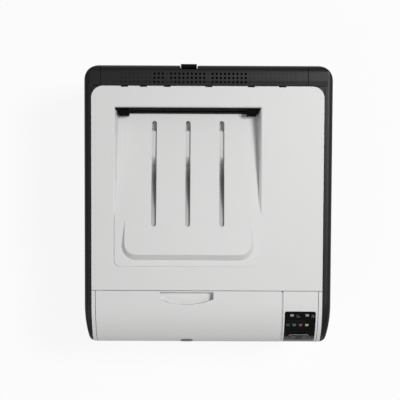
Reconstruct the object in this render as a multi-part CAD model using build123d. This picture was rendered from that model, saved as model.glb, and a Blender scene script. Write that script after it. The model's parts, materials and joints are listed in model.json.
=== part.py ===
from build123d import *
import math
import os

# A desktop color laser printer in millimetres. X runs to the right seen from the front,
# Y runs to the back and Z up. The origin is on the ground under the middle of the object.

# Overall body
WIDTH = 399.0
FRONT_Y = -226.5
BODY_REAR_Y = 224.5
HEIGHT = 254.0
FOOT_HEIGHT = 6.0
SKIN = 2.5
SEAM = 0.8
FIT = 0.3
RIB_DEPTH = 9.0
RIB_WALL = 1.8

# Roof line, and the two arcs that carry it down the front
ROOF_SLOPE = math.radians(3.2)
ROOF_REAR_Y = 190.6
ROOF_REAR_Z = 252.4
BROW_Y = -158.0
BROW_DROP = 52.0
FRONT_R = 40.0
REAR_EDGE_R = 12.0
REAR_CORNER_R = 26.5
FRONT_CORNER_X = 191.0
FRONT_BULGE_X = 197.2
FRONT_BULGE_Y = -192.0
FRONT_CORNER_R = 14.0
TOP_EDGE_R = 9.0
SKIRT_CHAMFER = 4.0

# Seams seen from above
TOP_LEFT_X = -187.7
TOP_RIGHT_X = 185.3
DOOR_SEAM_Y = -137.6
DOOR_LEFT_X = -181.0
DOOR_RIGHT_X = 119.8
PANEL_LEFT_X = 122.2
PANEL_RIGHT_X = 178.7
REAR_COVER_LEFT_X = -172.6
REAR_COVER_RIGHT_X = 158.5

# Paper
PAPER_X = -32.7
PAPER_WIDTH = 215.9
PAPER_LENGTH = 279.4
PAPER_PLAY = 0.5

# Output bin with its raised bed
BIN_LEFT_X = -150.6
BIN_RIGHT_X = 84.4
BIN_REAR_Y = 156.8
BIN_FRONT_Y = -98.9
BIN_REAR_Z = 220.0
BIN_LEVEL_Y = -23.0
BIN_PROUD = 1.5
BIN_DRAFT = 8.0
BIN_CORNER_R = 9.0
BIN_LIP = 1.2
BED_LEFT_X = -134.0
BED_RIGHT_X = 69.0
BED_FRONT_Y = -79.5
BED_RISE = 10.0
BED_FLANK_DRAFT = 34.0
BED_CORNER_R = 18.0
SLOT_PITCH = 54.8
SLOT_WIDTH = 7.9
SLOT_REAR_Y = 137.4
SLOT_FRONT_Y = -34.4
SLOT_COUNT = 3
SLOT_DEEP = 14.0
SLOT_SHALLOW = 4.0
SLOT_WALL = 1.6
NOTCH_WIDTH = 11.4
NOTCH_DEPTH = 1.6
NOTCH_X = (-134.5, -104.0, -66.3, 0.2, 68.4, 118.2)
ROOF_RIB_X = (109.4, 134.4, 159.4)

# Exit guide at the back of the bin
EXIT_CHIN = 8.4
HOLDER_WIDTH = 15.0
HOLDER_REACH = 4.0
EXIT_SLOT_HEIGHT = 8.0
EXIT_LIFT = 0.6
EXIT_FACE = 1.6
HOLDER_SIDE = 2.3
HOLDER_DROP = 6.0
COMB_X = (-67.5, 0.0, 67.5)

# Vent grid of the rear cover, with the columns that are open
VENT_PITCH = 6.62
VENT_FIRST_X = -139.5
VENT_ROW_PITCH = 6.7
VENT_ROWS = 3
VENT_MID_Y = 203.4
VENT_R = 2.3
VENT_SIDES = 4
VENT_COLUMNS = (*range(8, 11), *range(12, 21), *range(22, 31))

# Long cooling slots in the side panels and the rear wall
LOUVRE_PITCH = 9.0
LOUVRE_HEIGHT = 3.0
LOUVRE_TAPER = 10.0
LEFT_LOUVRES = 6
RIGHT_LOUVRES = 4
REAR_LOUVRES = 4
RIGHT_LOUVRE_SPAN = (20.0, 90.0)
RIGHT_LOUVRE_Z = 60.0
REAR_LOUVRE_SPAN = (104.0, 148.0)
REAR_LOUVRE_Z = 150.0
PANEL_RIB_Y = (-150.0, 10.0, 170.0)
PANEL_RIB_BOTTOM = 30.0

# Front of the machine, from the ground up
CASSETTE_FRONT_BOTTOM = 10.0
CASSETTE_FRONT_TOP = 68.0
SILL_BOTTOM = 69.2
SILL_TOP = 74.2
SHELF_THICK = 2.2
SHELF_REAR_Y = -150.0
DOOR_BOTTOM = 80.0
DOOR_HINGE_Y = -215.0
DOOR_HINGE_Z = 91.0
HINGE_PIN_R = 3.0
HINGE_BOSS_R = 6.5
HINGE_BOSS_WIDTH = 10.0
NOSE_R = 6.0
POCKET_LEFT_X = -77.0
POCKET_RIGHT_X = 9.4
POCKET_FRONT_Y = -161.0
POCKET_SIDE_Y = -152.0
POCKET_DEPTH = 12.0
FRAME_CHEEK = 2.2
FRAME_CHEEK_DEPTH = 26.0
HEADER_DEPTH = 2.0
HEADER_SETBACK = 3.5
HEADER_HEIGHT = 13.0
HEADER_DROP = 14.0
BADGE_X = -34.0
BADGE_Z = 197.0
BADGE_WIDTH = 21.0
BADGE_HEIGHT = 11.0
BADGE_PROUD = 0.5
BADGE_SEAT = 1.2

# Control panel
LENS_LEFT_X = 125.0
LENS_RIGHT_X = 175.5
LENS_TOP_Y = -171.5
LENS_BOTTOM_Z = 160.0
LENS_THICK = 2.0
LENS_CORNER = 2.2
LENS_SEAT = 2.2
LENS_LAP = 2.0
LENS_LIP = 1.0
LIGHT_WIDTH = 6.0
LIGHT_DEPTH = 4.2
STATUS_LIGHT_Y = -177.7
STATUS_LIGHT_X = (137.1, 161.6)
TONER_LIGHT_Y = -194.0
TONER_LIGHT_X = (131.0, 141.2, 151.4, 161.6)
BUTTON_TILT = math.radians(45.0)
BUTTON_X = (140.0, 159.0)
BUTTON_R = 5.0
BUTTON_PLAY = 0.4
BUTTON_SIDES = 16
BUTTON_PROUD = 0.9
BUTTON_FLANGE = 1.5
BUTTON_FLANGE_THICK = 1.4
BUTTON_GAP = 1.0
BEZEL_LENGTH = 36.0
BEZEL_HEIGHT = 14.0
BEZEL_PROUD = 0.9
POWER_X = 150.0
POWER_Z = 120.0

# Rear of the machine
REAR_WALL_TOP = 235.2
REAR_DOOR_LEFT_X = -152.2
REAR_DOOR_RIGHT_X = 87.2
REAR_DOOR_BOTTOM = 61.0
REAR_DOOR_RELIEF = 4.5
REAR_HINGE_Y = 215.5
REAR_HINGE_Z = 70.0
REAR_PIN_R = 2.5
REAR_BOSS_R = 5.5
REAR_BOSS_WIDTH = 8.0
REAR_EAR = 3.0
REAR_RIB_Y = 214.0
REAR_RIB_COUNT = 6
REAR_RIB_MARGIN = 14.0
LATCH_LEFT_X = -44.5
LATCH_RIGHT_X = -19.0
LATCH_TIP_Y = 226.5
LATCH_PIVOT_Y = 219.0
LATCH_PIVOT_Z = 214.0
LATCH_TOP = 249.0
LATCH_PIN_R = 1.6
LATCH_GAP = 1.0
LATCH_CHEEK = 2.5
LATCH_NOTCH_Y = 217.5
LATCH_NOTCH_SIDE = 2.0
LATCH_WALL = 2.0
INLET_X = 126.0
INLET_Z = 32.0
INLET_WIDTH = 28.0
INLET_HEIGHT = 21.0
INLET_DEPTH = 21.0
PORT_X = 145.0
USB_Z = 92.0
USB_WIDTH = 12.5
USB_HEIGHT = 11.5
NETWORK_Z = 120.0
NETWORK_WIDTH = 16.5
NETWORK_HEIGHT = 14.0
PORT_DEPTH = 20.0

# Base, feet and steel side plates
BASE_TOP = 9.6
BASE_RIB = 2.0
BASE_RIB_Y = (-120.0, 196.0)
RUNNER_WIDTH = 4.0
FOOT_R = 9.0
FOOT_SIDES = 12
FOOT_X = 165.0
FOOT_Y = (-188.0, 186.0)
PLATE = 1.5
LEFT_PLATE_X = -163.5
RIGHT_PLATE_X = 96.0
PLATE_FRONT_Y = -200.0
PLATE_REAR_Y = 213.0
PLATE_TOP_DROP = 10.5
PLATE_SHOULDER_Y = -140.0
PLATE_SHOULDER_Z = 176.0
WINDOW_CORNER = 6.0
WINDOWS = ((-160.0, 20.0, 24.0, 56.0), (-120.0, -70.0, 190.0, 214.0))

# Paper cassette
TRAY_LEFT_X = -153.7
TRAY_RIGHT_X = 88.3
TRAY_FRONT_Y = -211.0
TRAY_REAR_Y = 168.0
TRAY_BOTTOM = 12.0
TRAY_TOP = 57.5
TRAY_WALL = 2.5
TRAY_FLOOR = 3.0
GRIP_WIDTH = 92.0
GRIP_HEIGHT = 27.0
GRIP_SHOULDER = 8.0
GRIP_DEPTH = 12.5
LIFT_HINGE_Y = 24.0
LIFT_PIN_R = 2.0
LIFT_THICK = 1.5
LIFT_MARGIN = 14.0
LIFT_SLOT_X = 40.0
LIFT_SLOT_WIDTH = 12.0
LIFT_SLOT_LENGTH = 100.0
GUIDE_WALL = 2.0
GUIDE_HEIGHT = 30.0
GUIDE_FRONT_Y = -95.0
GUIDE_REAR_Y = 8.0
RACK_WIDTH = 6.0
RACK_THICK = 3.0
RACK_OVERLAP = 30.0
GUIDE_PINION_R = 8.0
GUIDE_PINION_Y = -42.0
GUIDE_PIN_R = 3.0
PINION_SIDES = 20
LENGTH_HALF = 24.0
LENGTH_FOOT_HALF = 18.0
LENGTH_FOOT = 24.0
SHEET_GUIDE_HEIGHT = 4.6
SHEET_GUIDE_FRONT_Y = -198.0
SHEET_GUIDE_LENGTH = 38.0
SHEET_GUIDE_FOOT = 12.0
SHEET_GUIDE_LIP = 1.2

# Rollers, as (y, z, radius) of each axis
BELT_DRIVE = (172.0, 96.0, 11.0)
BELT_TENSION = (-165.0, 96.0, 11.0)
BELT_THICK = 0.5
BELT_STEPS = 12
TRANSFER_R = 8.0
HEAT = (176.0, 165.0, 11.0)
PRESSURE_R = 11.0
NIP = 0.3
REGISTRATION = (191.5, 76.0, 7.0)
REGISTRATION_PINCH_R = 6.0
PICK = (146.0, 63.0, 11.0)
PICK_WIDTH = 47.0
PICK_PAD_GAP = 6.0
PINCH_MARGIN = 20.0
EXIT = (171.0, 229.0, 7.0)
EXIT_PINCH_R = 5.0
EXIT_WHEEL_X = (-45.0, 45.0)
EXIT_WHEEL_WIDTH = 18.0
SHAFT_R = 3.0
SHAFT_SIDES = 8
ROLLER_SIDES = 12
SHAFT_FIT = 0.06
SHAFT_END = 2.0
PILL_STEPS = 6

# Toner cartridges and photo drums, one behind the other
TONERS = ("yellow", "magenta", "cyan", "black")
DRUM_R = 12.0
DRUM_PITCH = 66.0
DRUM_FIRST_Y = -128.0
DRUM_LEFT_X = -141.0
DRUM_RIGHT_X = 76.0
DRUM_END_GAP = 1.0
CARTRIDGE_CAP = 7.0
CARTRIDGE_HEIGHT = 50.0
CARTRIDGE_REACH = 43.0
CARTRIDGE_TAIL = 15.0
CARTRIDGE_BEVEL = 12.0
CAP_HALF = 10.0
GRIP_HALF = 40.0
RAIL_TOP = 112.0
RAIL_END = 22.0
RAIL_GAP = 4.0

# Laser scanner above the cartridges
SCANNER_BOTTOM = 172.0
SCANNER_TOP = 204.0
SCANNER_FRONT_Y = -62.0
SCANNER_REAR_Y = 108.0
SCANNER_SIDE = 10.0
SCANNER_FLANGE = 2.5
SCANNER_WINDOW = 4.0
SCANNER_BEARING_R = 16.0
SCANNER_RIB_Y = (-32.0, 8.0, 48.0)
SCANNER_POLYGON_Y = -12.0

# Fuser
FUSER_FRONT_GAP = 5.0
FUSER_REAR_GAP = 1.0
FUSER_BELOW = 19.0
FUSER_ABOVE = 17.0
FUSER_WALL = 2.0
FUSER_CHEEK = 4.0
FUSER_PATH = 5.0
FUSER_FINS = 5
FUSER_FIN_RISE = 6.0

# Motor, its pinion, and the gear of the belt drive
MODULE = 1.5
BELT_TEETH = 24
MOTOR_TEETH = 8
BACKLASH = 0.3
TOOTH_ROOT = 1.1
TOOTH_TIP = 0.9
TOOTH_LEAN = 0.11
GEAR_WIDTH = 6.0
GEAR_X = 100.0
GEAR_ANGLE = 150.0
MOTOR_R = 21.0
MOTOR_LENGTH = 24.0
MOTOR_GAP = 4.0
MOTOR_SHAFT_R = 2.5
MOTOR_POST_R = 2.5
MOTOR_POST_REACH = 23.0
MOTOR_POST_ANGLES = (100.0, 160.0, 220.0)
MOTOR_BORE = 9.0

# Cooling fan
FAN_SIZE = 60.0
FAN_DEPTH = 15.0
FAN_WALL = 2.0
FAN_Y = 140.0
FAN_Z = 178.0
FAN_HUB_R = 12.0
FAN_PIN_R = 2.0
FAN_SIDES = 16
FAN_BLADES = 7
FAN_BLADE_GAP = 1.5
FAN_BLADE_THICK = 1.2
FAN_BLADE_WIDTH = 9.0
FAN_BLADE_TWIST = 35.0

# Power supply and main board
BOARD_THICK = 1.6
SUPPLY_SIDE = 8.0
SUPPLY_RIGHT_X = 182.0
SUPPLY_FRONT_Y = 30.0
SUPPLY_REAR_Y = 200.0
SUPPLY_Z = 20.0
POST_R = 3.0
POST_SIDES = 8
SUPPLY_BLOCKS = ((115.5, 149.5, 60.0, 92.0, 30.0), (111.5, 114.5, 110.0, 180.0, 32.0))
SUPPLY_CANS = ((150.0, 150.0, 9.0, 30.0), (168.0, 160.0, 6.0, 22.0))
BOARD_FRONT_Y = 60.0
BOARD_REAR_Y = 204.0
BOARD_BOTTOM = 74.0
BOARD_TOP = 200.0
BOARD_POST_Z = (136.0, 194.0)
BOARD_CHIPS = ((110.0, 150.0, 34.0, 34.0), (160.0, 110.0, 20.0, 28.0), (90.0, 100.0, 16.0, 24.0))

FAR = 400.0


def box(x0, x1, y0, y1, z0, z1):
    """Block between two corners."""
    return Pos((x0 + x1) / 2, (y0 + y1) / 2, (z0 + z1) / 2) * Box(x1 - x0, y1 - y0, z1 - z0)


def span(a, b):
    """Two values in rising order."""
    return min(a, b), max(a, b)


def prism_x(points, x0, x1):
    """Outline of (y, z) points carried from x0 to x1."""
    face = make_face(Polyline(*[(x0, y, z) for y, z in points], close=True))
    return extrude(face, amount=x1 - x0, dir=(1, 0, 0))


def prism_y(points, y0, y1):
    """Outline of (x, z) points carried from y0 to y1."""
    face = make_face(Polyline(*[(x, y0, z) for x, z in points], close=True))
    return extrude(face, amount=y1 - y0, dir=(0, 1, 0))


def prism_z(points, z0, z1):
    """Outline of (x, y) points carried from z0 to z1."""
    face = make_face(Polyline(*[(x, y, z0) for x, y in points], close=True))
    return extrude(face, amount=z1 - z0, dir=(0, 0, 1))


def rod_x(x0, x1, y, z, r):
    """Cylinder along X."""
    return Pos((x0 + x1) / 2, y, z) * Rot(0, 90, 0) * Cylinder(r, x1 - x0)


def ring_points(y, z, r, sides):
    """Corners of a regular outline round a centre."""
    turn = 2 * math.pi / sides
    return [(y + r * math.cos(turn * (i + 0.5)), z + r * math.sin(turn * (i + 0.5)))
            for i in range(sides)]


def bar_x(x0, x1, y, z, r, sides=SHAFT_SIDES):
    """Many-sided bar along X that fits inside the radius."""
    return prism_x(ring_points(y, z, r, sides), x0, x1)


def bore_x(x0, x1, y, z, r, sides=SHAFT_SIDES):
    """Many-sided hole along X that a shaft of the radius turns in."""
    return prism_x(ring_points(y, z, (r + SHAFT_FIT) / math.cos(math.pi / sides), sides), x0, x1)


def chamfered(u0, u1, v0, v1, corner):
    """Rectangle outline with its four corners cut off."""
    return [(u0 + corner, v0), (u1 - corner, v0), (u1, v0 + corner), (u1, v1 - corner),
            (u1 - corner, v1), (u0 + corner, v1), (u0, v1 - corner), (u0, v0 + corner)]


def pill(length, height, steps=PILL_STEPS):
    """Long outline with many-sided round ends."""
    r, turn = height / 2, math.pi / steps
    right = [(length / 2 - r + r * math.sin(turn * i), -r * math.cos(turn * i))
             for i in range(steps + 1)]
    return make_face(Polyline(*right, *[(-x, -y) for x, y in right], close=True))


def roof_z(y, inset=0.0):
    """Height of the sloping roof at depth y, behind the brow, drawn in by the inset."""
    return ROOF_REAR_Z - (ROOF_REAR_Y - y) * math.tan(ROOF_SLOPE) - inset / math.cos(ROOF_SLOPE)


SIDE_X = WIDTH / 2
BROW_Z = roof_z(BROW_Y)
LOW_CENTRE = (FRONT_Y + FRONT_R, BROW_Z - BROW_DROP)
BROW_RUN, BROW_RISE = BROW_Y - LOW_CENTRE[0], BROW_Z - LOW_CENTRE[1]
BROW_R = (FRONT_R ** 2 - BROW_RUN ** 2 - BROW_RISE ** 2) / 2 / (
    BROW_RUN * math.sin(ROOF_SLOPE) - BROW_RISE * math.cos(ROOF_SLOPE) + FRONT_R)
HIGH_CENTRE = (BROW_Y + BROW_R * math.sin(ROOF_SLOPE), BROW_Z - BROW_R * math.cos(ROOF_SLOPE))
JOIN_ANGLE = math.atan2(HIGH_CENTRE[0] - LOW_CENTRE[0], LOW_CENTRE[1] - HIGH_CENTRE[1])


def arc_point(centre, r, angle):
    """Point of the front profile, the angle measured from upright towards the front."""
    return (0, centre[0] - r * math.sin(angle), centre[1] + r * math.cos(angle))


def front_curve(inset):
    """Two tangent arcs from the roof at the brow down to the upright front."""
    high = (ROOF_SLOPE, (ROOF_SLOPE + JOIN_ANGLE) / 2, JOIN_ANGLE)
    low = (JOIN_ANGLE, (JOIN_ANGLE + math.pi / 2) / 2, math.pi / 2)
    return (ThreePointArc(*[arc_point(HIGH_CENTRE, BROW_R - inset, angle) for angle in high]),
            ThreePointArc(*[arc_point(LOW_CENTRE, FRONT_R - inset, angle) for angle in low]))


def front_plane(angle):
    """Plane that touches the lower front arc, its Z pointing out of the body."""
    return Plane(origin=arc_point(LOW_CENTRE, FRONT_R, angle), x_dir=(1, 0, 0),
                 z_dir=(0, -math.sin(angle), math.cos(angle)))


def side_outline(inset):
    """Outline of the body seen from the side, drawn in by the inset."""
    upper, lower = front_curve(inset)
    low, front = FOOT_HEIGHT + inset, FRONT_Y + inset
    rear, high = BODY_REAR_Y - inset, HEIGHT - inset
    edge_r = max(REAR_EDGE_R - inset, 1.0)
    mid = edge_r * (1 - math.sqrt(0.5))
    step_y = ROOF_REAR_Y + TOP_EDGE_R
    roof_end = (0, ROOF_REAR_Y, roof_z(ROOF_REAR_Y, inset))
    return make_face([
        upper, lower,
        Line(lower @ 1, (0, front, low + SKIRT_CHAMFER)),
        Line((0, front, low + SKIRT_CHAMFER), (0, front + SKIRT_CHAMFER, low)),
        Line((0, front + SKIRT_CHAMFER, low), (0, rear, low)),
        Line((0, rear, low), (0, rear, high - edge_r)),
        ThreePointArc((0, rear, high - edge_r), (0, rear - mid, high - mid),
                      (0, rear - edge_r, high)),
        Line((0, rear - edge_r, high), (0, step_y, high)),
        Line((0, step_y, high), roof_end),
        Line(roof_end, upper @ 0),
    ])


def plan_outline(inset):
    """Outline of the body seen from above; deep inside, the corners are cut off straight."""
    side, front, rear = SIDE_X - inset, FRONT_Y + inset, BODY_REAR_Y - inset
    half = [(FRONT_CORNER_X - inset, front), (FRONT_BULGE_X - inset, FRONT_BULGE_Y),
            (side, BROW_Y)]
    if inset >= TOP_EDGE_R:
        half += [(side, rear - REAR_CORNER_R), (side - REAR_CORNER_R, rear)]
        return make_face(Polyline(*half, *[(-x, y) for x, y in reversed(half)], close=True))
    sketch = make_face([
        Line((-half[0][0], front), half[0]),
        ThreePointArc(*half),
        Line(half[2], (side, rear)),
        Line((side, rear), (-side, rear)),
        Line((-side, rear), (-side, BROW_Y)),
        ThreePointArc(*[(-x, y) for x, y in reversed(half)]),
    ])
    rear_corners = [v for v in sketch.vertices() if v.Y > rear - 1]
    sketch = fillet(rear_corners, max(REAR_CORNER_R - inset, 1.0))
    front_corners = [v for v in sketch.vertices() if v.Y < front + 1]
    return fillet(front_corners, max(FRONT_CORNER_R - inset, 1.0))


def edge_cutters(inset):
    """What is cut from the right upper edge, round outside and straight inside the skin."""
    mid_x, out = SIDE_X - TOP_EDGE_R, TOP_EDGE_R
    slant, ends = TOP_EDGE_R * math.sqrt(0.5), ((mid_x, -inset), (SIDE_X - inset, -TOP_EDGE_R))
    section = make_face([
        Line(*ends) if inset > 0 else
        ThreePointArc(ends[0], (mid_x + slant, -TOP_EDGE_R + slant), ends[1]),
        Line((SIDE_X - inset, -TOP_EDGE_R), (SIDE_X + out, -TOP_EDGE_R)),
        Line((SIDE_X + out, -TOP_EDGE_R), (SIDE_X + out, out)),
        Line((SIDE_X + out, out), (mid_x, out)),
        Line((mid_x, out), (mid_x, -inset)),
    ])
    along = (0, math.cos(ROOF_SLOPE), math.sin(ROOF_SLOPE))
    cutters = []
    for centre, r, start, stop in ((HIGH_CENTRE, BROW_R, ROOF_SLOPE, JOIN_ANGLE),
                                   (LOW_CENTRE, FRONT_R, JOIN_ANGLE, math.pi / 2)):
        plane = Plane(origin=arc_point(centre, r, start), x_dir=(1, 0, 0),
                      z_dir=(0, -math.cos(start), -math.sin(start)))
        if not cutters:
            cutters.append(extrude(plane * section, amount=2 * SIDE_X, dir=along))
        cutters.append(revolve(plane * section, axis=Axis((0, *centre), (1, 0, 0)),
                               revolution_arc=math.degrees(stop - start)))
    return cutters


def body_form(inset):
    """Solid body outline, drawn in everywhere by the inset."""
    form = extrude(side_outline(inset), amount=SIDE_X + 1, dir=(1, 0, 0), both=True)
    form = form & extrude(plan_outline(inset), amount=HEIGHT + 10)
    if inset >= TOP_EDGE_R:
        return form
    for cutter in edge_cutters(inset):
        form = form - cutter - mirror(cutter, about=Plane.YZ)
    return form


def save(name, shape):
    """Write one named piece."""
    solids = shape.solids()
    print(f"{name:28s} {len(solids)} solid(s) {shape.volume / 1000:9.2f} cm3")
    export_step(Compound(solids) if len(solids) > 1 else solids[0], f"parts/{name}.step")


def gear_points(teeth, phase):
    """Spur gear outline of straight-sided teeth, one tooth centred at the phase angle."""
    pitch_r = MODULE * teeth / 2
    step = 360 / teeth
    mid = 0.25 * step - math.degrees(BACKLASH / 2 / pitch_r)
    corners = ((pitch_r - TOOTH_ROOT * MODULE, mid + TOOTH_LEAN * step),
               (pitch_r + TOOTH_TIP * MODULE, mid - TOOTH_LEAN * step))
    points = []
    for tooth in range(teeth):
        middle = phase + tooth * step
        for r, angle in ((corners[0][0], -corners[0][1]), (corners[1][0], -corners[1][1]),
                         corners[1], corners[0]):
            turn = math.radians(middle + angle)
            points.append((r * math.cos(turn), r * math.sin(turn)))
    return points


def gear_x(teeth, phase, x0, y, z):
    """Spur gear with its axis along X, starting at x0."""
    return prism_x([(y + u, z + v) for u, v in gear_points(teeth, phase)], x0, x0 + GEAR_WIDTH)


def roller(x0, x1, axis, r, shaft_x0, shaft_x1):
    """Roller body on a thinner shaft."""
    return (bar_x(x0, x1, *axis, r, ROLLER_SIDES)
            + bar_x(shaft_x0, shaft_x1, *axis, SHAFT_R))


def bored(shape, axes, x0, x1):
    """Shape with a running bore for each shaft axis."""
    for y, z, *_ in axes:
        shape -= bore_x(x0, x1, y, z, SHAFT_R)
    return shape


OUTER = body_form(0)
SHELL = OUTER - body_form(SKIN)
RIB_BAND = OUTER - body_form(RIB_DEPTH)
LEFT_INNER_X = LEFT_PLATE_X + PLATE
RIGHT_INNER_X = RIGHT_PLATE_X
RIGHT_OUTER_X = RIGHT_PLATE_X + PLATE
SHAFT_X0, SHAFT_X1 = LEFT_PLATE_X - SHAFT_END, RIGHT_OUTER_X + SHAFT_END

# Axes that follow from the rollers they run against
NIP_Y = BELT_DRIVE[0] + BELT_DRIVE[2] + BELT_THICK
TRANSFER = (NIP_Y + NIP + TRANSFER_R, BELT_DRIVE[1])
PRESSURE = (HEAT[0] + HEAT[2] + NIP + PRESSURE_R, HEAT[1])
REGISTRATION_PINCH = (REGISTRATION[0] - REGISTRATION[2] - NIP - REGISTRATION_PINCH_R,
                      REGISTRATION[1])
EXIT_PINCH = (EXIT[0], EXIT[1] + EXIT[2] + NIP + EXIT_PINCH_R)
EXIT_NIP_Z = EXIT[1] + EXIT[2] + NIP / 2
BELT_TOP = BELT_DRIVE[1] + BELT_DRIVE[2] + BELT_THICK
DRUM_Z = BELT_TOP + NIP + DRUM_R
DRUM_Y = [DRUM_FIRST_Y + DRUM_PITCH * i for i in range(len(TONERS))]
NODES = {}


# Side panels wrap the rear corners and round over the long upper edges
def side_panel(edge_x, cover_x, sign):
    """Black outer panel of one side, between its top and rear seams and the base."""
    low = BASE_TOP + FIT
    region = box(*span(edge_x + sign * SEAM, sign * FAR), -FAR, FAR, low, FAR)
    region += box(*span(cover_x + sign * SEAM, sign * FAR), ROOF_REAR_Y + SEAM, FAR, low, FAR)
    panel = SHELL & region
    for y in PANEL_RIB_Y:
        panel += RIB_BAND & box(*span(edge_x + sign * SEAM, sign * FAR), y, y + RIB_WALL,
                                PANEL_RIB_BOTTOM, FAR)
    return panel


def louvred(shape, x0, x1, y0, y1, z0, count):
    """Shape with a column of long vent slots through its wall."""
    for i in range(count):
        low = z0 + LOUVRE_PITCH * i
        shape -= box(x0, x1, y0, y1, low, low + LOUVRE_HEIGHT)
    return shape


FAN_HALF = FAN_SIZE / 2
NODES["left_side_panel"] = louvred(
    side_panel(TOP_LEFT_X, REAR_COVER_LEFT_X, -1), -FAR, -SIDE_X + SKIN + 1,
    FAN_Y - FAN_HALF, FAN_Y + FAN_HALF - LOUVRE_TAPER, FAN_Z - FAN_HALF + 2, LEFT_LOUVRES)
NODES["right_side_panel"] = louvred(
    side_panel(TOP_RIGHT_X, REAR_COVER_RIGHT_X, 1), SIDE_X - SKIN - 1, FAR,
    *RIGHT_LOUVRE_SPAN, RIGHT_LOUVRE_Z, RIGHT_LOUVRES)


# Base pan with its cross ribs, the cassette runners and the feet
base = OUTER & box(-FAR, FAR, -FAR, FAR, 0, BASE_TOP)
base -= body_form(SKIN) & box(-FAR, FAR, -FAR, FAR, 0, BASE_TOP + 1)
for x in (TRAY_LEFT_X + 2 * RUNNER_WIDTH, TRAY_RIGHT_X - 2 * RUNNER_WIDTH):
    base += box(x - RUNNER_WIDTH / 2, x + RUNNER_WIDTH / 2, PLATE_FRONT_Y,
                TRAY_REAR_Y + 3 * RUNNER_WIDTH, FOOT_HEIGHT, TRAY_BOTTOM - FIT)
for y in BASE_RIB_Y:
    base += box(-SIDE_X + REAR_EDGE_R, SIDE_X - REAR_EDGE_R, y, y + BASE_RIB, FOOT_HEIGHT, BASE_TOP)
NODES["base_pan"] = base
feet = []
for x in (-FOOT_X, FOOT_X):
    for y in FOOT_Y:
        foot = extrude(Pos(x, y, 0) * RegularPolygon(FOOT_R, FOOT_SIDES), amount=FOOT_HEIGHT)
        feet.append(foot)
NODES["rubber_feet"] = Compound(feet)


# Steel side plates that carry every shaft, with the pins of the front door
def side_plate(x0):
    """Steel plate with its nose at the door hinge, lightening windows and shaft bores."""
    nose = [point for point in ring_points(DOOR_HINGE_Y, DOOR_HINGE_Z, NOSE_R, ROLLER_SIDES)
            if point[0] < DOOR_HINGE_Y]
    nose.sort(key=lambda point: -point[1])
    outline = [
        (PLATE_FRONT_Y, BASE_TOP), (PLATE_REAR_Y, BASE_TOP),
        (PLATE_REAR_Y, HEIGHT - REAR_EDGE_R - PLATE_TOP_DROP),
        (PLATE_REAR_Y - REAR_EDGE_R, roof_z(PLATE_REAR_Y) - PLATE_TOP_DROP),
        (PLATE_SHOULDER_Y, roof_z(PLATE_SHOULDER_Y) - PLATE_TOP_DROP),
        (PLATE_FRONT_Y, PLATE_SHOULDER_Z),
        (PLATE_FRONT_Y, DOOR_HINGE_Z + 2 * NOSE_R), (DOOR_HINGE_Y, DOOR_HINGE_Z + NOSE_R),
        *nose,
        (DOOR_HINGE_Y, DOOR_HINGE_Z - NOSE_R), (PLATE_FRONT_Y, DOOR_HINGE_Z - NOSE_R),
    ]
    plate = prism_x(outline, x0, x0 + PLATE)
    for window in WINDOWS:
        plate -= prism_x(chamfered(*window, WINDOW_CORNER), x0 - 1, x0 + PLATE + 1)
    axes = [BELT_DRIVE, BELT_TENSION, TRANSFER, HEAT, PRESSURE, REGISTRATION,
            REGISTRATION_PINCH, PICK, EXIT, EXIT_PINCH]
    return bored(plate, axes, x0 - 1, x0 + PLATE + 1)


LEFT_BOSS = (LEFT_PLATE_X - FIT - HINGE_BOSS_WIDTH, LEFT_PLATE_X - FIT)
RIGHT_BOSS = (RIGHT_OUTER_X + FIT, RIGHT_OUTER_X + FIT + HINGE_BOSS_WIDTH)
RAIL = (DRUM_Y[0] - CARTRIDGE_REACH - NOSE_R, DRUM_Y[-1] + RAIL_END, RAIL_TOP - PLATE, RAIL_TOP)
NODES["left_side_plate"] = (
    side_plate(LEFT_PLATE_X)
    + rod_x(LEFT_BOSS[0] - 1, LEFT_INNER_X, DOOR_HINGE_Y, DOOR_HINGE_Z, HINGE_PIN_R)
    + box(LEFT_INNER_X, DRUM_LEFT_X - RAIL_GAP, *RAIL))
NODES["right_side_plate"] = (
    side_plate(RIGHT_PLATE_X)
    + rod_x(RIGHT_PLATE_X, RIGHT_BOSS[1] + 1, DOOR_HINGE_Y, DOOR_HINGE_Z, HINGE_PIN_R)
    + box(DRUM_RIGHT_X + RAIL_GAP, RIGHT_INNER_X, *RAIL))


# Top cover with the output bin, the raised bed and its three finger slots
def bin_line(y, lift=0.0):
    """Height of the bin floor at depth y: a ramp, then a level just above the roof."""
    level = roof_z(BIN_LEVEL_Y) + BIN_PROUD
    if y >= BIN_LEVEL_Y:
        share = (BIN_REAR_Y - y) / (BIN_REAR_Y - BIN_LEVEL_Y)
        return BIN_REAR_Z + (level - BIN_REAR_Z) * share + lift
    return level - (BIN_LEVEL_Y - y) * math.tan(ROOF_SLOPE) + lift


def over_bin(lift):
    """Everything above the bin floor line."""
    rear, front = BIN_REAR_Y + 60, BIN_FRONT_Y - 60
    points = [(rear, bin_line(rear, lift)), (BIN_LEVEL_Y, bin_line(BIN_LEVEL_Y, lift)),
              (front, bin_line(front, lift)), (front, FAR), (rear, FAR)]
    return prism_x(points, -FAR, FAR)


BIN_MID_X = (BIN_LEFT_X + BIN_RIGHT_X) / 2
BIN_RAMP = BIN_REAR_Y - BIN_LEVEL_Y
LOW_Z = BIN_REAR_Z - 40.0
ABOVE = (LOW_Z, FAR)


def bin_well(grow):
    """Drafted well of the bin, open upward, grown outward for its walls."""
    sketch = Rectangle(BIN_RIGHT_X - BIN_LEFT_X + 2 * grow, BIN_RAMP + 2 * grow)
    place = Pos(BIN_MID_X, BIN_REAR_Y - BIN_RAMP / 2, HEIGHT)
    return extrude(place * sketch, amount=LOW_Z - HEIGHT, taper=BIN_DRAFT)


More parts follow.
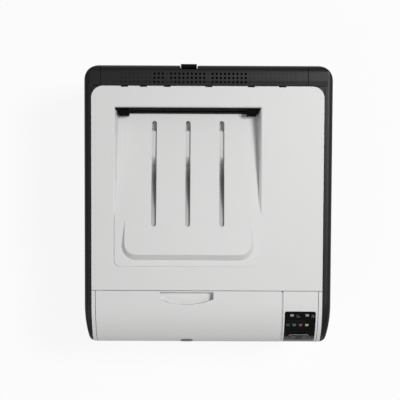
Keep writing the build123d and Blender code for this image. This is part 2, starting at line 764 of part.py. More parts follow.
def well_rear_y(z):
    """Depth of the drafted rear wall of the bin at height z."""
    return BIN_REAR_Y - (HEIGHT - z) * math.tan(math.radians(BIN_DRAFT))


def bin_plan():
    """Outline of the whole bin floor with rounded front corners."""
    sketch = Pos(BIN_MID_X, (BIN_FRONT_Y + BIN_REAR_Y) / 2, LOW_Z) * Rectangle(
        BIN_RIGHT_X - BIN_LEFT_X, BIN_REAR_Y - BIN_FRONT_Y)
    front = [v for v in sketch.vertices() if v.Y < BIN_FRONT_Y + 1]
    return extrude(fillet(front, BIN_CORNER_R), amount=FAR)


def bin_lip():
    """Bevel round the upper rim of the bin, in the slope of the roof."""
    plane = Plane(origin=(BIN_MID_X, BIN_REAR_Y, roof_z(BIN_REAR_Y)), x_dir=(1, 0, 0),
                  z_dir=(0, -math.sin(ROOF_SLOPE), math.cos(ROOF_SLOPE)))
    length = (BIN_REAR_Y - BIN_LEVEL_Y) / math.cos(ROOF_SLOPE) + BIN_LIP
    width = BIN_RIGHT_X - BIN_LEFT_X + 2 * BIN_LIP
    sketch = Pos(0, BIN_LIP - length / 2) * Rectangle(width, length)
    return extrude(plane * sketch, amount=-2 * BIN_LIP, taper=45)


BED_SLOPE = math.atan2(
    roof_z(BED_FRONT_Y) + BIN_PROUD + BED_RISE - BIN_REAR_Z, BIN_REAR_Y - BED_FRONT_Y)


def bed_form(sink):
    """Raised bed: a plateau in a sloping plane with drafted flanks, sunk by a depth."""
    length = (BIN_REAR_Y - BED_FRONT_Y) / math.cos(BED_SLOPE)
    plane = Plane(origin=((BED_LEFT_X + BED_RIGHT_X) / 2, BIN_REAR_Y, BIN_REAR_Z - sink),
                  x_dir=(1, 0, 0), z_dir=(0, math.sin(BED_SLOPE), math.cos(BED_SLOPE)))
    sketch = Pos(0, -length / 2) * Rectangle(BED_RIGHT_X - BED_LEFT_X, length)
    front = [v for v in sketch.vertices() if v.Y < -length / 2]
    sketch = fillet(front, BED_CORNER_R)
    return extrude(plane * sketch, amount=-(BED_RISE + 6), taper=-BED_FLANK_DRAFT)


def bed_z(y):
    """Height of the bed at depth y."""
    return BIN_REAR_Z + (BIN_REAR_Y - y) * math.tan(BED_SLOPE)


SLOT_LENGTH = SLOT_REAR_Y - SLOT_FRONT_Y
SLOT_FLOOR = ((-0.1, SLOT_DEEP), (0.07, SLOT_DEEP), (0.1, SLOT_SHALLOW), (0.34, SLOT_SHALLOW),
              (0.42, SLOT_DEEP), (0.66, SLOT_DEEP - 2), (0.84, SLOT_SHALLOW + 2),
              (1.1, SLOT_SHALLOW))


def slot_depths(x, grow):
    """Space above the dipping floor of one finger slot."""
    points = []
    for share, depth in SLOT_FLOOR:
        y = SLOT_REAR_Y - share * SLOT_LENGTH
        points.append((y, bed_z(y) - depth - grow))
    points += [(points[-1][0], FAR), (points[0][0], FAR)]
    return prism_x(points, x - 2 * SLOT_WIDTH, x + 2 * SLOT_WIDTH)


def slot_form(x):
    """One finger slot with round ends in plan."""
    place = Pos(x, (SLOT_REAR_Y + SLOT_FRONT_Y) / 2, LOW_Z) * Rot(0, 0, 90)
    return extrude(place * pill(SLOT_LENGTH, SLOT_WIDTH, 4), amount=FAR) & slot_depths(x, 0)


def slot_trough(x):
    """Square-ended trough whose walls line one finger slot from below."""
    half = SLOT_WIDTH / 2 + SLOT_WALL
    return box(x - half, x + half, SLOT_FRONT_Y - SLOT_WALL, SLOT_REAR_Y + SLOT_WALL,
               *ABOVE) & slot_depths(x, SLOT_WALL)


SLOT_X = [PAPER_X + SLOT_PITCH * (i - (SLOT_COUNT - 1) / 2) for i in range(SLOT_COUNT)]
top_region = box(TOP_LEFT_X, TOP_RIGHT_X, DOOR_SEAM_Y, ROOF_REAR_Y, *ABOVE)
top = SHELL & top_region
rim = top_region - box(TOP_LEFT_X + RIB_WALL, TOP_RIGHT_X - RIB_WALL, DOOR_SEAM_Y + RIB_WALL,
                       ROOF_REAR_Y - RIB_WALL, 0, FAR)
top += RIB_BAND & rim
for x in ROOF_RIB_X:
    top += RIB_BAND & box(x, x + RIB_WALL, DOOR_SEAM_Y, ROOF_REAR_Y, *ABOVE)
plan_floor = bin_plan()
level_part = box(-FAR, FAR, -FAR, BIN_LEVEL_Y, *ABOVE)
top -= plan_floor & level_part
top -= bin_well(0)
top -= bin_lip() & over_bin(0)
top += (bin_well(SKIN) - bin_well(0) - bin_lip()) & over_bin(-SKIN) & OUTER
floor_area = bin_well(SKIN) + box(-FAR, FAR, -FAR, BIN_LEVEL_Y + 1, *ABOVE)
top += (over_bin(-SKIN) - over_bin(0)) & plan_floor & floor_area
top += (bed_form(0) - bed_form(SKIN)) & over_bin(-SKIN) & plan_floor
under_bed = bed_form(0) + box(-FAR, FAR, -FAR, FAR, 0, BIN_REAR_Z + 8)
for x in SLOT_X:
    top += slot_trough(x) & under_bed
for x in SLOT_X:
    top -= slot_form(x)
for x in NOTCH_X:
    top -= box(x - NOTCH_WIDTH / 2, x + NOTCH_WIDTH / 2, ROOF_REAR_Y - NOTCH_DEPTH, FAR, *ABOVE)
FLOOR_LEFT_X = BIN_LEFT_X + (HEIGHT - BIN_REAR_Z) * math.tan(math.radians(BIN_DRAFT))
FLOOR_RIGHT_X = BIN_RIGHT_X - (HEIGHT - BIN_REAR_Z) * math.tan(math.radians(BIN_DRAFT))
EXIT_SPAN = (FLOOR_LEFT_X + HOLDER_SIDE + HOLDER_WIDTH + FIT,
             FLOOR_RIGHT_X - HOLDER_SIDE - HOLDER_WIDTH - FIT)
EXIT_GAP = (EXIT_NIP_Z - EXIT_SLOT_HEIGHT, EXIT_NIP_Z + EXIT_SLOT_HEIGHT / 2)
top -= box(*EXIT_SPAN, BIN_REAR_Y - EXIT_CHIN, BIN_REAR_Y + SKIN + 1, *EXIT_GAP)
NODES["top_cover"] = top


# Rear top cover with its vent rows and the notch for the rear latch
behind_roof = box(REAR_COVER_LEFT_X, REAR_COVER_RIGHT_X, ROOF_REAR_Y + SEAM, FAR,
                  REAR_WALL_TOP + SEAM, FAR)
rear_top = SHELL & behind_roof
rear_rim = behind_roof - box(REAR_COVER_LEFT_X + RIB_WALL, REAR_COVER_RIGHT_X - RIB_WALL,
                             ROOF_REAR_Y + SEAM + RIB_WALL, FAR, 0, FAR)
rear_top += RIB_BAND & rear_rim
vents = [
    Pos(VENT_FIRST_X + VENT_PITCH * column, VENT_MID_Y + VENT_ROW_PITCH * (row - 1))
    * RegularPolygon(VENT_R, VENT_SIDES, rotation=180 / VENT_SIDES)
    for column in VENT_COLUMNS for row in range(VENT_ROWS)]
rear_top -= Compound([extrude(Pos(0, 0, HEIGHT - 2 * SKIN) * vent, amount=4 * SKIN)
                      for vent in vents])
rear_top -= box(LATCH_LEFT_X - LATCH_NOTCH_SIDE, LATCH_RIGHT_X + LATCH_NOTCH_SIDE,
                LATCH_NOTCH_Y, FAR, 0, FAR)
NODES["rear_top_cover"] = rear_top


# Rear wall with its openings and hinge pins
DOOR_CUT = (REAR_DOOR_LEFT_X - SEAM, REAR_DOOR_RIGHT_X + SEAM)
INNER_REAR_Y = BODY_REAR_Y - SKIN
BEHIND = (INNER_REAR_Y - 1, FAR)


def wall_opening(x, z, width, height):
    """Rectangular cut through the rear wall."""
    return box(x - width / 2, x + width / 2, *BEHIND, z - height / 2, z + height / 2)


rear = SHELL & box(REAR_COVER_LEFT_X, REAR_COVER_RIGHT_X, *BEHIND, BASE_TOP + FIT, REAR_WALL_TOP)
rear -= box(*DOOR_CUT, *BEHIND, REAR_DOOR_BOTTOM - REAR_DOOR_RELIEF, FAR)
rear -= wall_opening(INLET_X, INLET_Z, INLET_WIDTH, INLET_HEIGHT)
rear -= wall_opening(PORT_X, USB_Z, USB_WIDTH, USB_HEIGHT)
rear -= wall_opening(PORT_X, NETWORK_Z, NETWORK_WIDTH, NETWORK_HEIGHT)
rear = louvred(rear, *REAR_LOUVRE_SPAN, *BEHIND, REAR_LOUVRE_Z, REAR_LOUVRES)
for edge, sign in ((DOOR_CUT[0], -1), (DOOR_CUT[1], 1)):
    rear += box(*span(edge, edge + sign * REAR_EAR), REAR_HINGE_Y - REAR_BOSS_R, INNER_REAR_Y,
                REAR_HINGE_Z - REAR_BOSS_R, REAR_HINGE_Z + REAR_BOSS_R)
    rear += rod_x(*span(edge + sign * REAR_EAR, edge - sign * REAR_BOSS_WIDTH), REAR_HINGE_Y,
                  REAR_HINGE_Z, REAR_PIN_R)
for x0 in (REAR_COVER_LEFT_X, REAR_COVER_RIGHT_X - RIB_WALL):
    rear += OUTER & box(x0, x0 + RIB_WALL, BODY_REAR_Y - RIB_DEPTH, FAR, BASE_TOP + FIT,
                        REAR_WALL_TOP)
NODES["rear_wall"] = rear


# Rear door with its ribs, hinge bosses and the cheeks of the pull latch
rear_door = SHELL & box(REAR_DOOR_LEFT_X, REAR_DOOR_RIGHT_X, *BEHIND, REAR_DOOR_BOTTOM,
                        REAR_WALL_TOP)
rib_low, rib_high, rib_step = REAR_HINGE_Z + 8, REAR_WALL_TOP - 8, 4
rib_outline = [(INNER_REAR_Y, rib_low), (REAR_RIB_Y + rib_step, rib_low),
               (REAR_RIB_Y, rib_low + 3 * rib_step), (REAR_RIB_Y, rib_high - 4 * rib_step),
               (REAR_RIB_Y + rib_step, rib_high), (INNER_REAR_Y, rib_high)]
rib_pitch = (REAR_DOOR_RIGHT_X - REAR_DOOR_LEFT_X - 2 * REAR_RIB_MARGIN) / (REAR_RIB_COUNT - 1)
for i in range(REAR_RIB_COUNT):
    x = REAR_DOOR_LEFT_X + REAR_RIB_MARGIN + i * rib_pitch
    if not LATCH_LEFT_X - rib_step < x < LATCH_RIGHT_X + rib_step:
        rear_door += prism_x(rib_outline, x - RIB_WALL / 2, x + RIB_WALL / 2)
for x0, x1 in ((REAR_DOOR_LEFT_X, REAR_DOOR_LEFT_X + REAR_BOSS_WIDTH),
               (REAR_DOOR_RIGHT_X - REAR_BOSS_WIDTH, REAR_DOOR_RIGHT_X)):
    rear_door += bar_x(x0, x1, REAR_HINGE_Y, REAR_HINGE_Z, REAR_BOSS_R, ROLLER_SIDES)
    rear_door += box(x0, x1, REAR_HINGE_Y, INNER_REAR_Y, REAR_HINGE_Z - REAR_BOSS_R + 1,
                     REAR_HINGE_Z + REAR_BOSS_R - 1)
    rear_door -= bore_x(x0 - 1, x1 + 1, REAR_HINGE_Y, REAR_HINGE_Z, REAR_PIN_R, ROLLER_SIDES)
CHEEK_LOW, CHEEK_HIGH = LATCH_PIVOT_Z - 9, LATCH_PIVOT_Z + 7
rear_door -= box(LATCH_LEFT_X - LATCH_GAP, LATCH_RIGHT_X + LATCH_GAP, REAR_RIB_Y, FAR,
                 CHEEK_LOW + LATCH_GAP, FAR)
for edge, sign in ((LATCH_LEFT_X, -1), (LATCH_RIGHT_X, 1)):
    cheek = span(edge + sign * LATCH_GAP, edge + sign * (LATCH_GAP + LATCH_CHEEK))
    rear_door += box(*cheek, LATCH_PIVOT_Y - 2.5 * LATCH_PIN_R, BODY_REAR_Y, CHEEK_LOW, CHEEK_HIGH)
    rear_door -= bore_x(cheek[0] - 1, cheek[1] + 1, LATCH_PIVOT_Y, LATCH_PIVOT_Z, LATCH_PIN_R)
NODES["rear_door"] = rear_door


# Pull latch of the rear door, hollowed from above
latch_back, latch_knee = BODY_REAR_Y - 2 * FIT, LATCH_PIVOT_Z + 18
latch = prism_x([
    (LATCH_PIVOT_Y - 2.6, LATCH_PIVOT_Z - 3), (LATCH_PIVOT_Y + 4.2, LATCH_PIVOT_Z - 4.5),
    (latch_back, LATCH_PIVOT_Z + 4), (latch_back, latch_knee),
    (LATCH_TIP_Y, latch_knee + 7), (LATCH_TIP_Y, LATCH_TOP - 3), (LATCH_TIP_Y - 3, LATCH_TOP),
    (LATCH_PIVOT_Y + 1.5, LATCH_TOP), (LATCH_PIVOT_Y + 1, latch_knee + 2)],
    LATCH_LEFT_X, LATCH_RIGHT_X)
latch -= prism_x([
    (LATCH_PIVOT_Y, latch_knee + 2.5), (LATCH_TIP_Y - 3, latch_knee + 8),
    (LATCH_TIP_Y - 3.4, LATCH_TOP - 3), (LATCH_PIVOT_Y, LATCH_TOP - 3)],
    LATCH_LEFT_X + LATCH_WALL, LATCH_RIGHT_X - LATCH_WALL)
pin_reach = LATCH_GAP + LATCH_CHEEK - 2 * FIT
NODES["rear_latch"] = latch + bar_x(LATCH_LEFT_X - pin_reach, LATCH_RIGHT_X + pin_reach,
                                    LATCH_PIVOT_Y, LATCH_PIVOT_Z, LATCH_PIN_R)


# Front frame: the white margins beside the door, the sill under it and the header behind it
FRAME_REAR_Y = DOOR_SEAM_Y - SEAM
left_strip = box(TOP_LEFT_X, DOOR_LEFT_X - SEAM, -FAR, FRAME_REAR_Y, SILL_BOTTOM, FAR)
right_strip = box(PANEL_RIGHT_X + SEAM, TOP_RIGHT_X, -FAR, FRAME_REAR_Y, SILL_BOTTOM, FAR)
front_frame = SHELL & (left_strip + right_strip)
cheek_form = OUTER - body_form(FRAME_CHEEK_DEPTH)
for x0 in (TOP_LEFT_X, TOP_RIGHT_X - FRAME_CHEEK):
    front_frame += cheek_form & box(x0, x0 + FRAME_CHEEK, -FAR, FRAME_REAR_Y, SILL_BOTTOM, FAR)
SILL_REAR_Y = PLATE_FRONT_Y - FIT
front_frame += OUTER & box(TOP_LEFT_X, TOP_RIGHT_X, -FAR, SILL_REAR_Y, SILL_BOTTOM, SILL_TOP)
front_frame += box(LEFT_INNER_X + FIT, RIGHT_INNER_X - FIT, SILL_REAR_Y - 1, SHELF_REAR_Y,
                   SILL_TOP - SHELF_THICK, SILL_TOP)
header_top = roof_z(DOOR_SEAM_Y) - HEADER_DROP
header = body_form(SKIN + FIT) & box(
    -FAR, FAR, FRAME_REAR_Y - HEADER_SETBACK - HEADER_DEPTH, FRAME_REAR_Y - HEADER_SETBACK,
    header_top - HEADER_HEIGHT, header_top)
front_frame += header & box(TOP_LEFT_X, LEFT_PLATE_X - 1, -FAR, FAR, 0, FAR)
front_frame += header & box(RIGHT_OUTER_X + 1, TOP_RIGHT_X, -FAR, FAR, 0, FAR)
NODES["front_frame"] = front_frame


# Front door: curved shell with ribs, a finger pocket and two hinge bosses
door_region = box(DOOR_LEFT_X, DOOR_RIGHT_X, -FAR, FRAME_REAR_Y, DOOR_BOTTOM, FAR)
door = SHELL & door_region
for x in (DOOR_LEFT_X, DOOR_RIGHT_X - RIB_WALL):
    door += RIB_BAND & door_region & box(x, x + RIB_WALL, -FAR, FAR, 0, FAR)
door += RIB_BAND & door_region & box(-FAR, FAR, FRAME_REAR_Y - RIB_WALL, FAR, 0, FAR)
foot_rib = RIB_BAND & door_region & box(-FAR, FAR, -FAR, FAR, DOOR_BOTTOM, DOOR_BOTTOM + RIB_WALL)
for x in (LEFT_PLATE_X, RIGHT_PLATE_X):
    foot_rib -= box(x - 1, x + PLATE + 1, -FAR, FAR, 0, FAR)
door += foot_rib


def pocket_form(grow):
    """Finger pocket: straight at the seam, curved towards the front."""
    x0, x1 = POCKET_LEFT_X - grow, POCKET_RIGHT_X + grow
    rear, side_y = FRAME_REAR_Y - RIB_WALL + grow, POCKET_SIDE_Y - grow
    face = make_face([
        Line((x0, rear), (x0, side_y)),
        ThreePointArc((x0, side_y), ((x0 + x1) / 2, POCKET_FRONT_Y - grow), (x1, side_y)),
        Line((x1, side_y), (x1, rear)), Line((x1, rear), (x0, rear))])
    return extrude(Pos(0, 0, LOW_Z) * face, amount=FAR) - body_form(POCKET_DEPTH + grow)


door += pocket_form(SKIN) & OUTER & door_region
door -= pocket_form(0)
for x0, x1 in (LEFT_BOSS, RIGHT_BOSS):
    door += bar_x(x0, x1, DOOR_HINGE_Y, DOOR_HINGE_Z, HINGE_BOSS_R, ROLLER_SIDES)
    door += OUTER & box(x0, x1, -FAR, DOOR_HINGE_Y, DOOR_HINGE_Z - NOSE_R, DOOR_HINGE_Z + NOSE_R)
    door -= bore_x(x0 - 2, x1 + 2, DOOR_HINGE_Y, DOOR_HINGE_Z, HINGE_PIN_R, ROLLER_SIDES)
badge_angle = math.acos((BADGE_Z - LOW_CENTRE[1]) / FRONT_R)
badge_face = front_plane(badge_angle) * Pos(BADGE_X, 0, -BADGE_SEAT) * pill(
    BADGE_WIDTH, BADGE_HEIGHT)
NODES["front_door"] = door - extrude(badge_face, amount=3 * BADGE_SEAT)
NODES["badge_blank"] = extrude(badge_face, amount=BADGE_SEAT + BADGE_PROUD)


# Control panel: white housing, black lens, lights and two buttons in one raised bezel
panel_region = box(PANEL_LEFT_X, PANEL_RIGHT_X, -FAR, FRAME_REAR_Y, SILL_TOP + SEAM, FAR)
panel = SHELL & panel_region
panel += RIB_BAND & panel_region & box(-FAR, FAR, FRAME_REAR_Y - RIB_WALL, FAR, 0, FAR)
lens_plan = [(LENS_LEFT_X, -FAR), (LENS_RIGHT_X, -FAR), (LENS_RIGHT_X, LENS_TOP_Y - LENS_CORNER),
             (LENS_RIGHT_X - LENS_CORNER, LENS_TOP_Y), (LENS_LEFT_X + LENS_CORNER, LENS_TOP_Y),
             (LENS_LEFT_X, LENS_TOP_Y - LENS_CORNER)]
lens_region = prism_z(lens_plan, LENS_BOTTOM_Z, FAR)
seat_region = box(LENS_LEFT_X - LENS_LAP, LENS_RIGHT_X + LENS_LAP, -FAR, LENS_TOP_Y + LENS_LAP,
                  LENS_BOTTOM_Z - LENS_LAP, FAR)
under_lens = body_form(LENS_THICK)
panel += (under_lens - body_form(LENS_THICK + LENS_SEAT)) & seat_region
panel -= (OUTER - under_lens) & lens_region
lip_z = HIGH_CENTRE[1] + math.sqrt(BROW_R ** 2 - (LENS_TOP_Y - HIGH_CENTRE[0]) ** 2)
panel -= prism_x([(LENS_TOP_Y - 1, lip_z - LENS_LIP), (LENS_TOP_Y, lip_z - LENS_LIP),
                  (LENS_TOP_Y + 2 * LENS_LIP, lip_z + LENS_LIP), (LENS_TOP_Y - 1, lip_z + LENS_LIP)],
                 LENS_LEFT_X + LENS_CORNER, LENS_RIGHT_X - LENS_CORNER)
lens = (OUTER - under_lens) & lens_region
tilt_plane = front_plane(BUTTON_TILT)
bezel_x = (BUTTON_X[0] + BUTTON_X[-1]) / 2
bezel = extrude(tilt_plane * Pos(bezel_x, 0, -LENS_THICK) * pill(BEZEL_LENGTH, BEZEL_HEIGHT),
                amount=LENS_THICK + BEZEL_PROUD)
lens += bezel - under_lens
for name, y, columns in (("status_lights", STATUS_LIGHT_Y, STATUS_LIGHT_X),
                         ("toner_lights", TONER_LIGHT_Y, TONER_LIGHT_X)):
    lights = []
    for x in columns:
        column = box(x - LIGHT_WIDTH / 2, x + LIGHT_WIDTH / 2, y - LIGHT_DEPTH / 2,
                     y + LIGHT_DEPTH / 2, *ABOVE)
        lights += (lens & column).solids()
        lens -= column
    NODES[name] = Compound(lights)
FLANGE_TOP = -(LENS_THICK + LENS_SEAT + BUTTON_GAP)
FLANGE_LOW = FLANGE_TOP - BUTTON_FLANGE_THICK
FLANGE_SIZE = 2 * (BUTTON_R + BUTTON_FLANGE)


def push_button(plane, x, top):
    """Round button on a square flange behind the panel, drawn on a plane touching the front."""
    stem = extrude(plane * Pos(x, 0, FLANGE_TOP) * RegularPolygon(BUTTON_R, BUTTON_SIDES),
                   amount=top - FLANGE_TOP)
    return stem + extrude(plane * Pos(x, 0, FLANGE_LOW) * Rectangle(FLANGE_SIZE, FLANGE_SIZE),
                          amount=BUTTON_FLANGE_THICK)


for name, x in zip(("cancel_button", "resume_button"), BUTTON_X):
    hole = extrude(tilt_plane * Pos(x, 0, FLANGE_LOW)
                   * RegularPolygon(BUTTON_R + BUTTON_PLAY, BUTTON_SIDES), amount=FAR)
    square = Rectangle(FLANGE_SIZE - BUTTON_FLANGE, FLANGE_SIZE - BUTTON_FLANGE)
    lens -= hole
    panel -= extrude(tilt_plane * Pos(x, 0, FLANGE_LOW) * square, amount=-FLANGE_LOW)
    NODES[name] = push_button(tilt_plane, x, BEZEL_PROUD + BUTTON_PROUD)
power_plane = Plane(origin=(0, FRONT_Y, POWER_Z), x_dir=(1, 0, 0), z_dir=(0, -1, 0))
panel -= extrude(power_plane * Pos(POWER_X, 0, FLANGE_LOW)
                 * RegularPolygon(BUTTON_R + BUTTON_PLAY, BUTTON_SIDES), amount=1 - FLANGE_LOW)
NODES["power_button"] = push_button(power_plane, POWER_X, 0)
NODES["control_lens"] = lens
NODES["control_housing"] = panel


# Cassette tray with its bearings for the lift plate and the pinion of the paper guides
tray = box(TRAY_LEFT_X, TRAY_RIGHT_X, TRAY_FRONT_Y, TRAY_REAR_Y, TRAY_BOTTOM, TRAY_TOP)
tray_inner = (TRAY_LEFT_X + TRAY_WALL, TRAY_RIGHT_X - TRAY_WALL,
              TRAY_FRONT_Y + TRAY_WALL, TRAY_REAR_Y - TRAY_WALL)
FLOOR_TOP = TRAY_BOTTOM + TRAY_FLOOR
tray -= box(*tray_inner, FLOOR_TOP, FAR)
PICK_LEFT_X, PICK_RIGHT_X = PAPER_X - PICK_WIDTH / 2, PAPER_X + PICK_WIDTH / 2
PAD_Z = PICK[1] - PICK[2] - PICK_PAD_GAP
PAD_REACH = TRAY_WALL + 7
tray -= box(PICK_LEFT_X - PICK_PAD_GAP, PICK_RIGHT_X + PICK_PAD_GAP, TRAY_REAR_Y - PAD_REACH - FIT,
            FAR, PAD_Z, FAR)
LIFT_Z = FLOOR_TOP + LIFT_PIN_R + 1.2
LIFT_LEFT_X, LIFT_RIGHT_X = TRAY_LEFT_X + LIFT_MARGIN, TRAY_RIGHT_X - LIFT_MARGIN
LIFT_EAR = 2.5 * LIFT_PIN_R
for x0, x1 in ((tray_inner[0], LIFT_LEFT_X - 3), (LIFT_RIGHT_X + 3, tray_inner[1])):
    tray += box(x0, x1, LIFT_HINGE_Y - LIFT_EAR, LIFT_HINGE_Y + LIFT_EAR, FLOOR_TOP,
                LIFT_Z + 2 * LIFT_PIN_R)
    tray -= bore_x(x0, x1, LIFT_HINGE_Y, LIFT_Z, LIFT_PIN_R)
pinion_bore = (GUIDE_PIN_R + SHAFT_FIT) / math.cos(math.pi / SHAFT_SIDES)
tray -= extrude(Pos(PAPER_X, GUIDE_PINION_Y, FLOOR_TOP - TRAY_FLOOR / 2)
                * RegularPolygon(pinion_bore, SHAFT_SIDES), amount=TRAY_FLOOR)
NODES["cassette_tray"] = tray


# Front of the cassette with its arched finger grip
front_area = (TOP_LEFT_X, TOP_RIGHT_X, -FAR, TRAY_FRONT_Y, CASSETTE_FRONT_BOTTOM,
              CASSETTE_FRONT_TOP)
tray_face = OUTER & box(*front_area)
tray_face -= body_form(SKIN) & box(TOP_LEFT_X + SKIN, TOP_RIGHT_X - SKIN, -FAR,
                                   TRAY_FRONT_Y - SKIN, CASSETTE_FRONT_BOTTOM + SKIN,
                                   CASSETTE_FRONT_TOP - SKIN)
GRIP_X0, GRIP_X1 = PAPER_X - GRIP_WIDTH / 2, PAPER_X + GRIP_WIDTH / 2
GRIP_TOP = CASSETTE_FRONT_BOTTOM + GRIP_HEIGHT
tray_face += OUTER & box(GRIP_X0 - SKIN, GRIP_X1 + SKIN, -FAR, TRAY_FRONT_Y,
                         CASSETTE_FRONT_BOTTOM, GRIP_TOP + SKIN)
grip = make_face([
    Line((GRIP_X0, FRONT_Y, 0), (GRIP_X0, FRONT_Y, GRIP_TOP - GRIP_SHOULDER)),
    ThreePointArc((GRIP_X0, FRONT_Y, GRIP_TOP - GRIP_SHOULDER), (PAPER_X, FRONT_Y, GRIP_TOP),
                  (GRIP_X1, FRONT_Y, GRIP_TOP - GRIP_SHOULDER)),
    Line((GRIP_X1, FRONT_Y, GRIP_TOP - GRIP_SHOULDER), (GRIP_X1, FRONT_Y, 0)),
    Line((GRIP_X1, FRONT_Y, 0), (GRIP_X0, FRONT_Y, 0))])
NODES["cassette_front"] = tray_face - extrude(grip, amount=GRIP_DEPTH, dir=(0, 1, 0))


# Lift plate, paper guides and separation pad of the cassette
lift = box(LIFT_LEFT_X, LIFT_RIGHT_X, LIFT_HINGE_Y - 1.5 * LIFT_PIN_R,
           TRAY_REAR_Y - TRAY_WALL - LIFT_EAR, LIFT_Z - LIFT_THICK / 2, LIFT_Z + LIFT_THICK / 2)
lift += bar_x(tray_inner[0] + 1, tray_inner[1] - 1, LIFT_HINGE_Y, LIFT_Z, LIFT_PIN_R)
for x in (LIFT_LEFT_X + LIFT_SLOT_X, LIFT_RIGHT_X - LIFT_SLOT_X - LIFT_SLOT_WIDTH):
    lift -= box(x, x + LIFT_SLOT_WIDTH, LIFT_HINGE_Y + LIFT_SLOT_WIDTH,
                LIFT_HINGE_Y + LIFT_SLOT_LENGTH, 0, FAR)
NODES["lift_plate"] = lift
HALF_SHEET = PAPER_WIDTH / 2 + PAPER_PLAY
RACK_LOW = FLOOR_TOP + FIT
RACK_HIGH = RACK_LOW + RACK_THICK
for name, sign in (("side_guide_left", -1), ("side_guide_right", 1)):
    edge = PAPER_X + sign * HALF_SHEET
    outer = edge + sign * GUIDE_WALL
    rack_y = GUIDE_PINION_Y + sign * (GUIDE_PINION_R + FIT)
    NODES[name] = (
        box(*span(edge, outer), GUIDE_FRONT_Y, GUIDE_REAR_Y, RACK_LOW, RACK_LOW + GUIDE_HEIGHT)
        + box(*span(edge, PAPER_X - sign * RACK_OVERLAP), *span(rack_y, rack_y + sign * RACK_WIDTH),
              RACK_LOW, RACK_HIGH)
        + box(*span(outer, outer + sign * RACK_WIDTH), GUIDE_FRONT_Y + RACK_WIDTH,
              GUIDE_REAR_Y - RACK_WIDTH, RACK_LOW, RACK_HIGH))
pin_low = FLOOR_TOP - TRAY_FLOOR / 2 + FIT
NODES["guide_pinion"] = (
    extrude(Pos(PAPER_X, GUIDE_PINION_Y, RACK_LOW) * RegularPolygon(GUIDE_PINION_R, PINION_SIDES),
            amount=RACK_THICK)
    + extrude(Pos(PAPER_X, GUIDE_PINION_Y, pin_low) * RegularPolygon(GUIDE_PIN_R, SHAFT_SIDES),
              amount=RACK_LOW + 1 - pin_low))
LEAD_Y = TRAY_REAR_Y - TRAY_WALL - PICK_PAD_GAP
LENGTH_Y = LEAD_Y - PAPER_LENGTH
NODES["length_guide"] = (
    box(PAPER_X - LENGTH_HALF, PAPER_X + LENGTH_HALF, LENGTH_Y - GUIDE_WALL, LENGTH_Y, RACK_LOW,
        RACK_LOW + GUIDE_HEIGHT)
    + box(PAPER_X - LENGTH_FOOT_HALF, PAPER_X + LENGTH_FOOT_HALF, LENGTH_Y - LENGTH_FOOT, LENGTH_Y,
          RACK_LOW, RACK_HIGH)
    + prism_x([(LENGTH_Y - LENGTH_FOOT + 4, RACK_LOW), (LENGTH_Y, RACK_LOW + GUIDE_HEIGHT - 4),
               (LENGTH_Y, RACK_LOW)], PAPER_X - GUIDE_WALL / 2, PAPER_X + GUIDE_WALL / 2))
NODES["separation_pad"] = prism_x(
    [(TRAY_REAR_Y - PAD_REACH, PAD_Z), (TRAY_REAR_Y, PAD_Z), (TRAY_REAR_Y, PAD_Z + 4.5),
     (TRAY_REAR_Y - 3, PAD_Z + 5)], PICK_LEFT_X, PICK_RIGHT_X)


# Sheet feed guides on the sill shelf
guide_low = SILL_TOP + FIT
for name, sign in (("sheet_guide_left", -1), ("sheet_guide_right", 1)):
    edge = PAPER_X + sign * HALF_SHEET
    NODES[name] = (
        box(*span(edge, edge + sign * GUIDE_WALL), SHEET_GUIDE_FRONT_Y,
            SHEET_GUIDE_FRONT_Y + SHEET_GUIDE_LENGTH, guide_low, guide_low + SHEET_GUIDE_HEIGHT)
        + box(*span(edge, edge - sign * 2 * SHEET_GUIDE_FOOT), SHEET_GUIDE_FRONT_Y,
              SHEET_GUIDE_FRONT_Y + SHEET_GUIDE_FOOT, guide_low, guide_low + SHEET_GUIDE_LIP))


# Exit guide: the black wedge that covers the back of the bin, with its two end blocks
guide_top = roof_z(BIN_REAR_Y) - BIN_LIP - FIT
guide_area = bin_well(0) & over_bin(EXIT_LIFT)
exit_guide = guide_area & prism_x([
    (BIN_REAR_Y + 1, LOW_Z), (BIN_REAR_Y - EXIT_CHIN, LOW_Z), (BIN_REAR_Y - EXIT_CHIN, BIN_REAR_Z),
    (well_rear_y(guide_top) - EXIT_FACE, guide_top), (BIN_REAR_Y + 1, guide_top)], -FAR, FAR)
holder_front, holder_top = BIN_REAR_Y - EXIT_CHIN - HOLDER_REACH, guide_top - HOLDER_DROP
for x0 in (FLOOR_LEFT_X + HOLDER_SIDE, FLOOR_RIGHT_X - HOLDER_SIDE - HOLDER_WIDTH):
    exit_guide += guide_area & prism_x([
        (BIN_REAR_Y + 1, LOW_Z), (holder_front, LOW_Z), (holder_front, holder_top - HOLDER_REACH),
        (holder_front + HOLDER_REACH, holder_top), (BIN_REAR_Y + 1, holder_top)],
        x0, x0 + HOLDER_WIDTH)
exit_guide -= box(EXIT_SPAN[0] + HOLDER_SIDE, EXIT_SPAN[1] - HOLDER_SIDE,
                  BIN_REAR_Y - 3 * EXIT_CHIN, BIN_REAR_Y + 1,
                  EXIT_NIP_Z - EXIT_SLOT_HEIGHT / 2, EXIT_GAP[1] - FIT)
COMB_REAR_Y, COMB_HIGH = BIN_REAR_Y + SKIN + 5, EXIT_NIP_Z - EXIT_SLOT_HEIGHT / 2
comb_low = EXIT_GAP[0] + FIT
for dx in COMB_X:
    exit_guide += prism_x([
        (well_rear_y(comb_low) - 1, comb_low), (well_rear_y(COMB_HIGH) - 1, COMB_HIGH),
        (COMB_REAR_Y - 3, COMB_HIGH), (COMB_REAR_Y, COMB_HIGH - 2), (COMB_REAR_Y, comb_low)],
        PAPER_X + dx - GUIDE_WALL / 2, PAPER_X + dx + GUIDE_WALL / 2)
NODES["exit_guide"] = exit_guide


